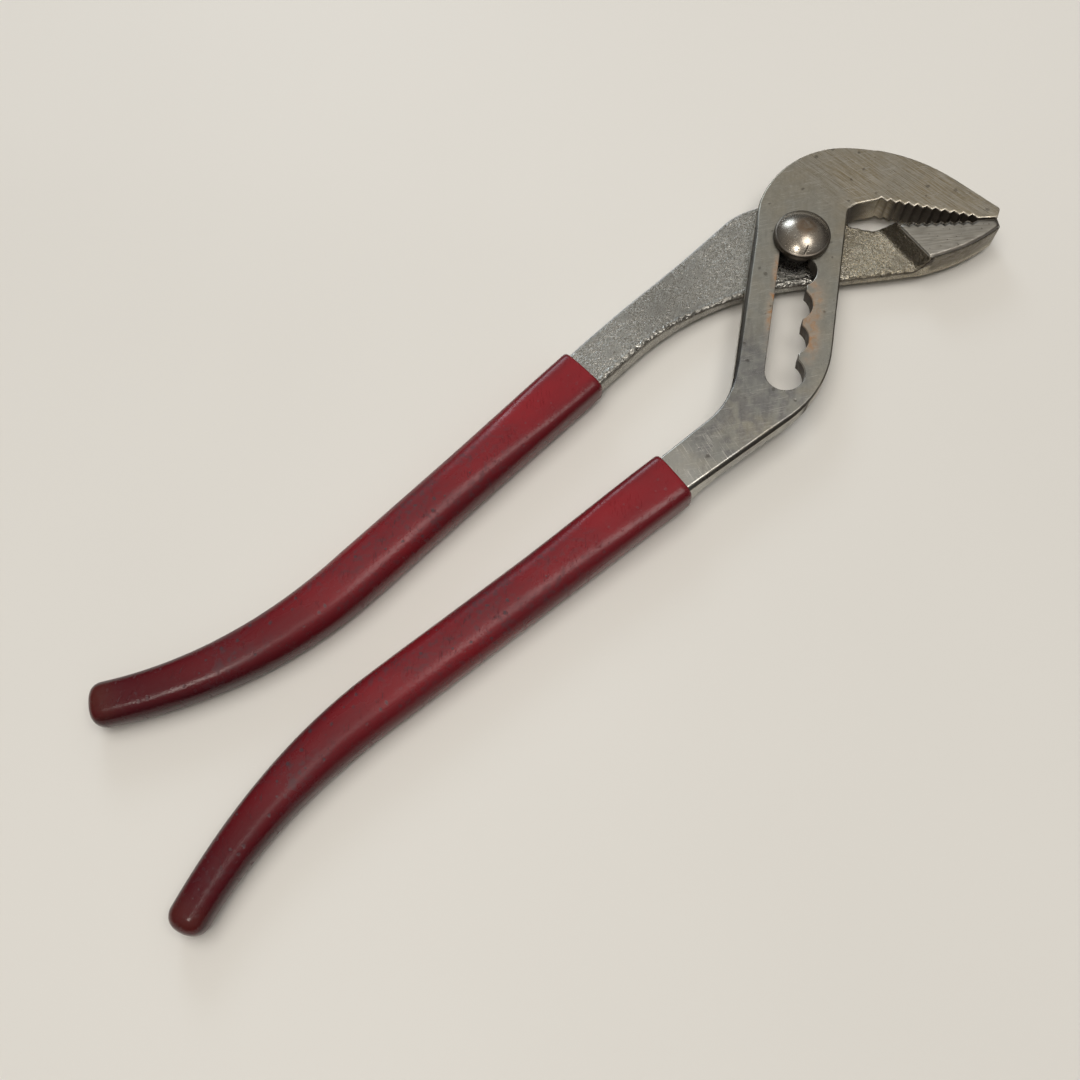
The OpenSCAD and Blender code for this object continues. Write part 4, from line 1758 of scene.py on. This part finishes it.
@dataclass
class Studio:
    """The floor, the lamps, the room's dim light and the camera."""

    floor_size: float = 5.0
    room_low: Colour = (0.055, 0.052, 0.05)
    room_high: Colour = (0.29, 0.28, 0.265)
    room_glow: Colour = (0.42, 0.407, 0.385)
    glow_way: Place = (0.40, 0.32, 0.86)
    backdrop: Colour = (0.66, 0.63, 0.585)
    room_rise: Span = (0.15, 1.0)
    glow_reach: Span = (0.62, 1.0)
    lamps: tuple[Lamp, ...] = (
        Lamp("overhead", (-0.20, 0.30, 1.5), TOOL_MIDDLE, 0.9, 7.4, WARM_WHITE, mirrored=False),
        Lamp("ceiling", (-0.42, -0.20, 0.94), (-0.03, -0.02, 0.0), 0.21, 1.4, (1.0, 0.95, 0.87)),
        Lamp("skylight", (0.30, -0.34, 1.54), TOOL_MIDDLE, 0.66, 5.2, WARM_WHITE),
        Lamp("window", (0.30, 1.0, 0.62), (0.0, 0.0, 0.0), 0.42, 2.4, (0.78, 0.89, 1.0)),
    )
    eye: Place = (-0.1407, -0.1012, 0.248)
    look: Place = (0.1861, 0.2988, -0.9360)
    roll: float = math.radians(-4.08)
    lens: float = 39.9
    sensor: float = 36.0
    clip_start: float = 0.01

    def build(self) -> None:
        """Builds the whole studio."""
        self._floor()
        self._room()
        for lamp in self.lamps:
            lamp.build()
        self._camera()
        bpy.context.scene.view_settings.view_transform = "Standard"
        log.info("studio: floor, %d lamps, room and camera", len(self.lamps))

    def _floor(self) -> None:
        """Lays the floor."""
        floor = bmesh.new()
        bmesh.ops.create_grid(floor, x_segments=2, y_segments=2, size=self.floor_size / 2)
        shaped_piece("floor", floor, PaleFloor().material())

    def _room(self) -> None:
        """Lights the room, dim near the floor and brightest on one side, with a plain backdrop."""
        world = bpy.data.worlds.new("room")
        world.use_nodes = True
        world.node_tree.nodes.clear()
        bench = Bench(world.node_tree)
        way = bench.wire(bench.node("ShaderNodeTexCoord", {}), "Generated")
        _, _, up = bench.split(way)
        glow = bench.ramp(bench.vector("DOT_PRODUCT", way, self.glow_way), *self.glow_reach)
        seen = bench.wire(bench.node("ShaderNodeLightPath", {}), "Is Camera Ray")
        colour = bench.layers(
            self.room_low,
            (bench.ramp(up, *self.room_rise), self.room_high),
            (glow, self.room_glow),
            (seen, self.backdrop),
        )
        light = bench.node("ShaderNodeBackground", {"Color": colour})
        target = bench.node("ShaderNodeOutputWorld", {})
        bench.tree.links.new(light.outputs[0], target.inputs["Surface"])
        bpy.context.scene.world = world

    def _camera(self) -> None:
        """Sets the camera at the photograph's place."""
        view = bpy.data.cameras.new("camera")
        view.lens = self.lens
        view.sensor_fit = "HORIZONTAL"
        view.sensor_width = self.sensor
        view.clip_start = self.clip_start
        camera = bpy.data.objects.new("camera", view)
        turn = Vector(self.look).to_track_quat("-Z", "Y")
        turn = turn @ Quaternion((0.0, 0.0, 1.0), self.roll)
        camera.matrix_world = Matrix.LocRotScale(Vector(self.eye), turn, None)
        bpy.context.scene.collection.objects.link(camera)
        bpy.context.scene.camera = camera


def handle_grips() -> tuple[DippedGrip, DippedGrip]:
    """Sizes of the two grips.

    Returns:
        The slotted half's grip and the pivot half's grip.
    """
    slotted = DippedGrip(
        node="slotted_half_grip",
        body="slotted_half",
        mouth=(-61 * MM, -30.018 * MM),
        slope=math.radians(2.3),
        straight=79 * MM,
        bend_radius=130 * MM,
        bend_side=BendSide.DOWN,
        length=138.1 * MM,
        end_width=8.3 * MM,
        steel_low=3.2 * MM,
        steel_high=9.8 * MM,
        cap_bluntness=2.3,
    )
    pivot = DippedGrip(
        node="pivot_half_grip",
        body="pivot_half",
        mouth=(-61 * MM, 3 * MM),
        slope=math.radians(8.5),
        straight=70 * MM,
        bend_radius=103 * MM,
        bend_side=BendSide.UP,
        length=130.7 * MM,
        end_width=9.6 * MM,
        steel_low=2.7 * MM,
        steel_high=8.0 * MM,
        cap_bluntness=2.8,
    )
    return slotted, pivot


def main() -> None:
    """Builds the studio and every piece of the tool, in order."""
    logging.basicConfig(level=logging.INFO, format="%(name)s: %(message)s")
    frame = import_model()
    nodes = frame["nodes"]
    Studio().build()
    effects = Effects()
    bolt_steel = BoltSteel().material(effects)
    SlottedHalf().build(nodes["slotted_half"], GroundSteel().material(effects))
    PivotHalf().build(nodes["pivot_half"], ForgedSteel().material(effects))
    PivotBolt().build(bolt_steel)
    PivotNut().build(nodes["pivot_nut"], bolt_steel)
    grips = handle_grips()
    sweep = GripTree(grips[0].sizes())
    for grip in grips:
        grip.build(sweep, DippedRed().material(effects, grip.length))


if __name__ == "__main__":
    main()
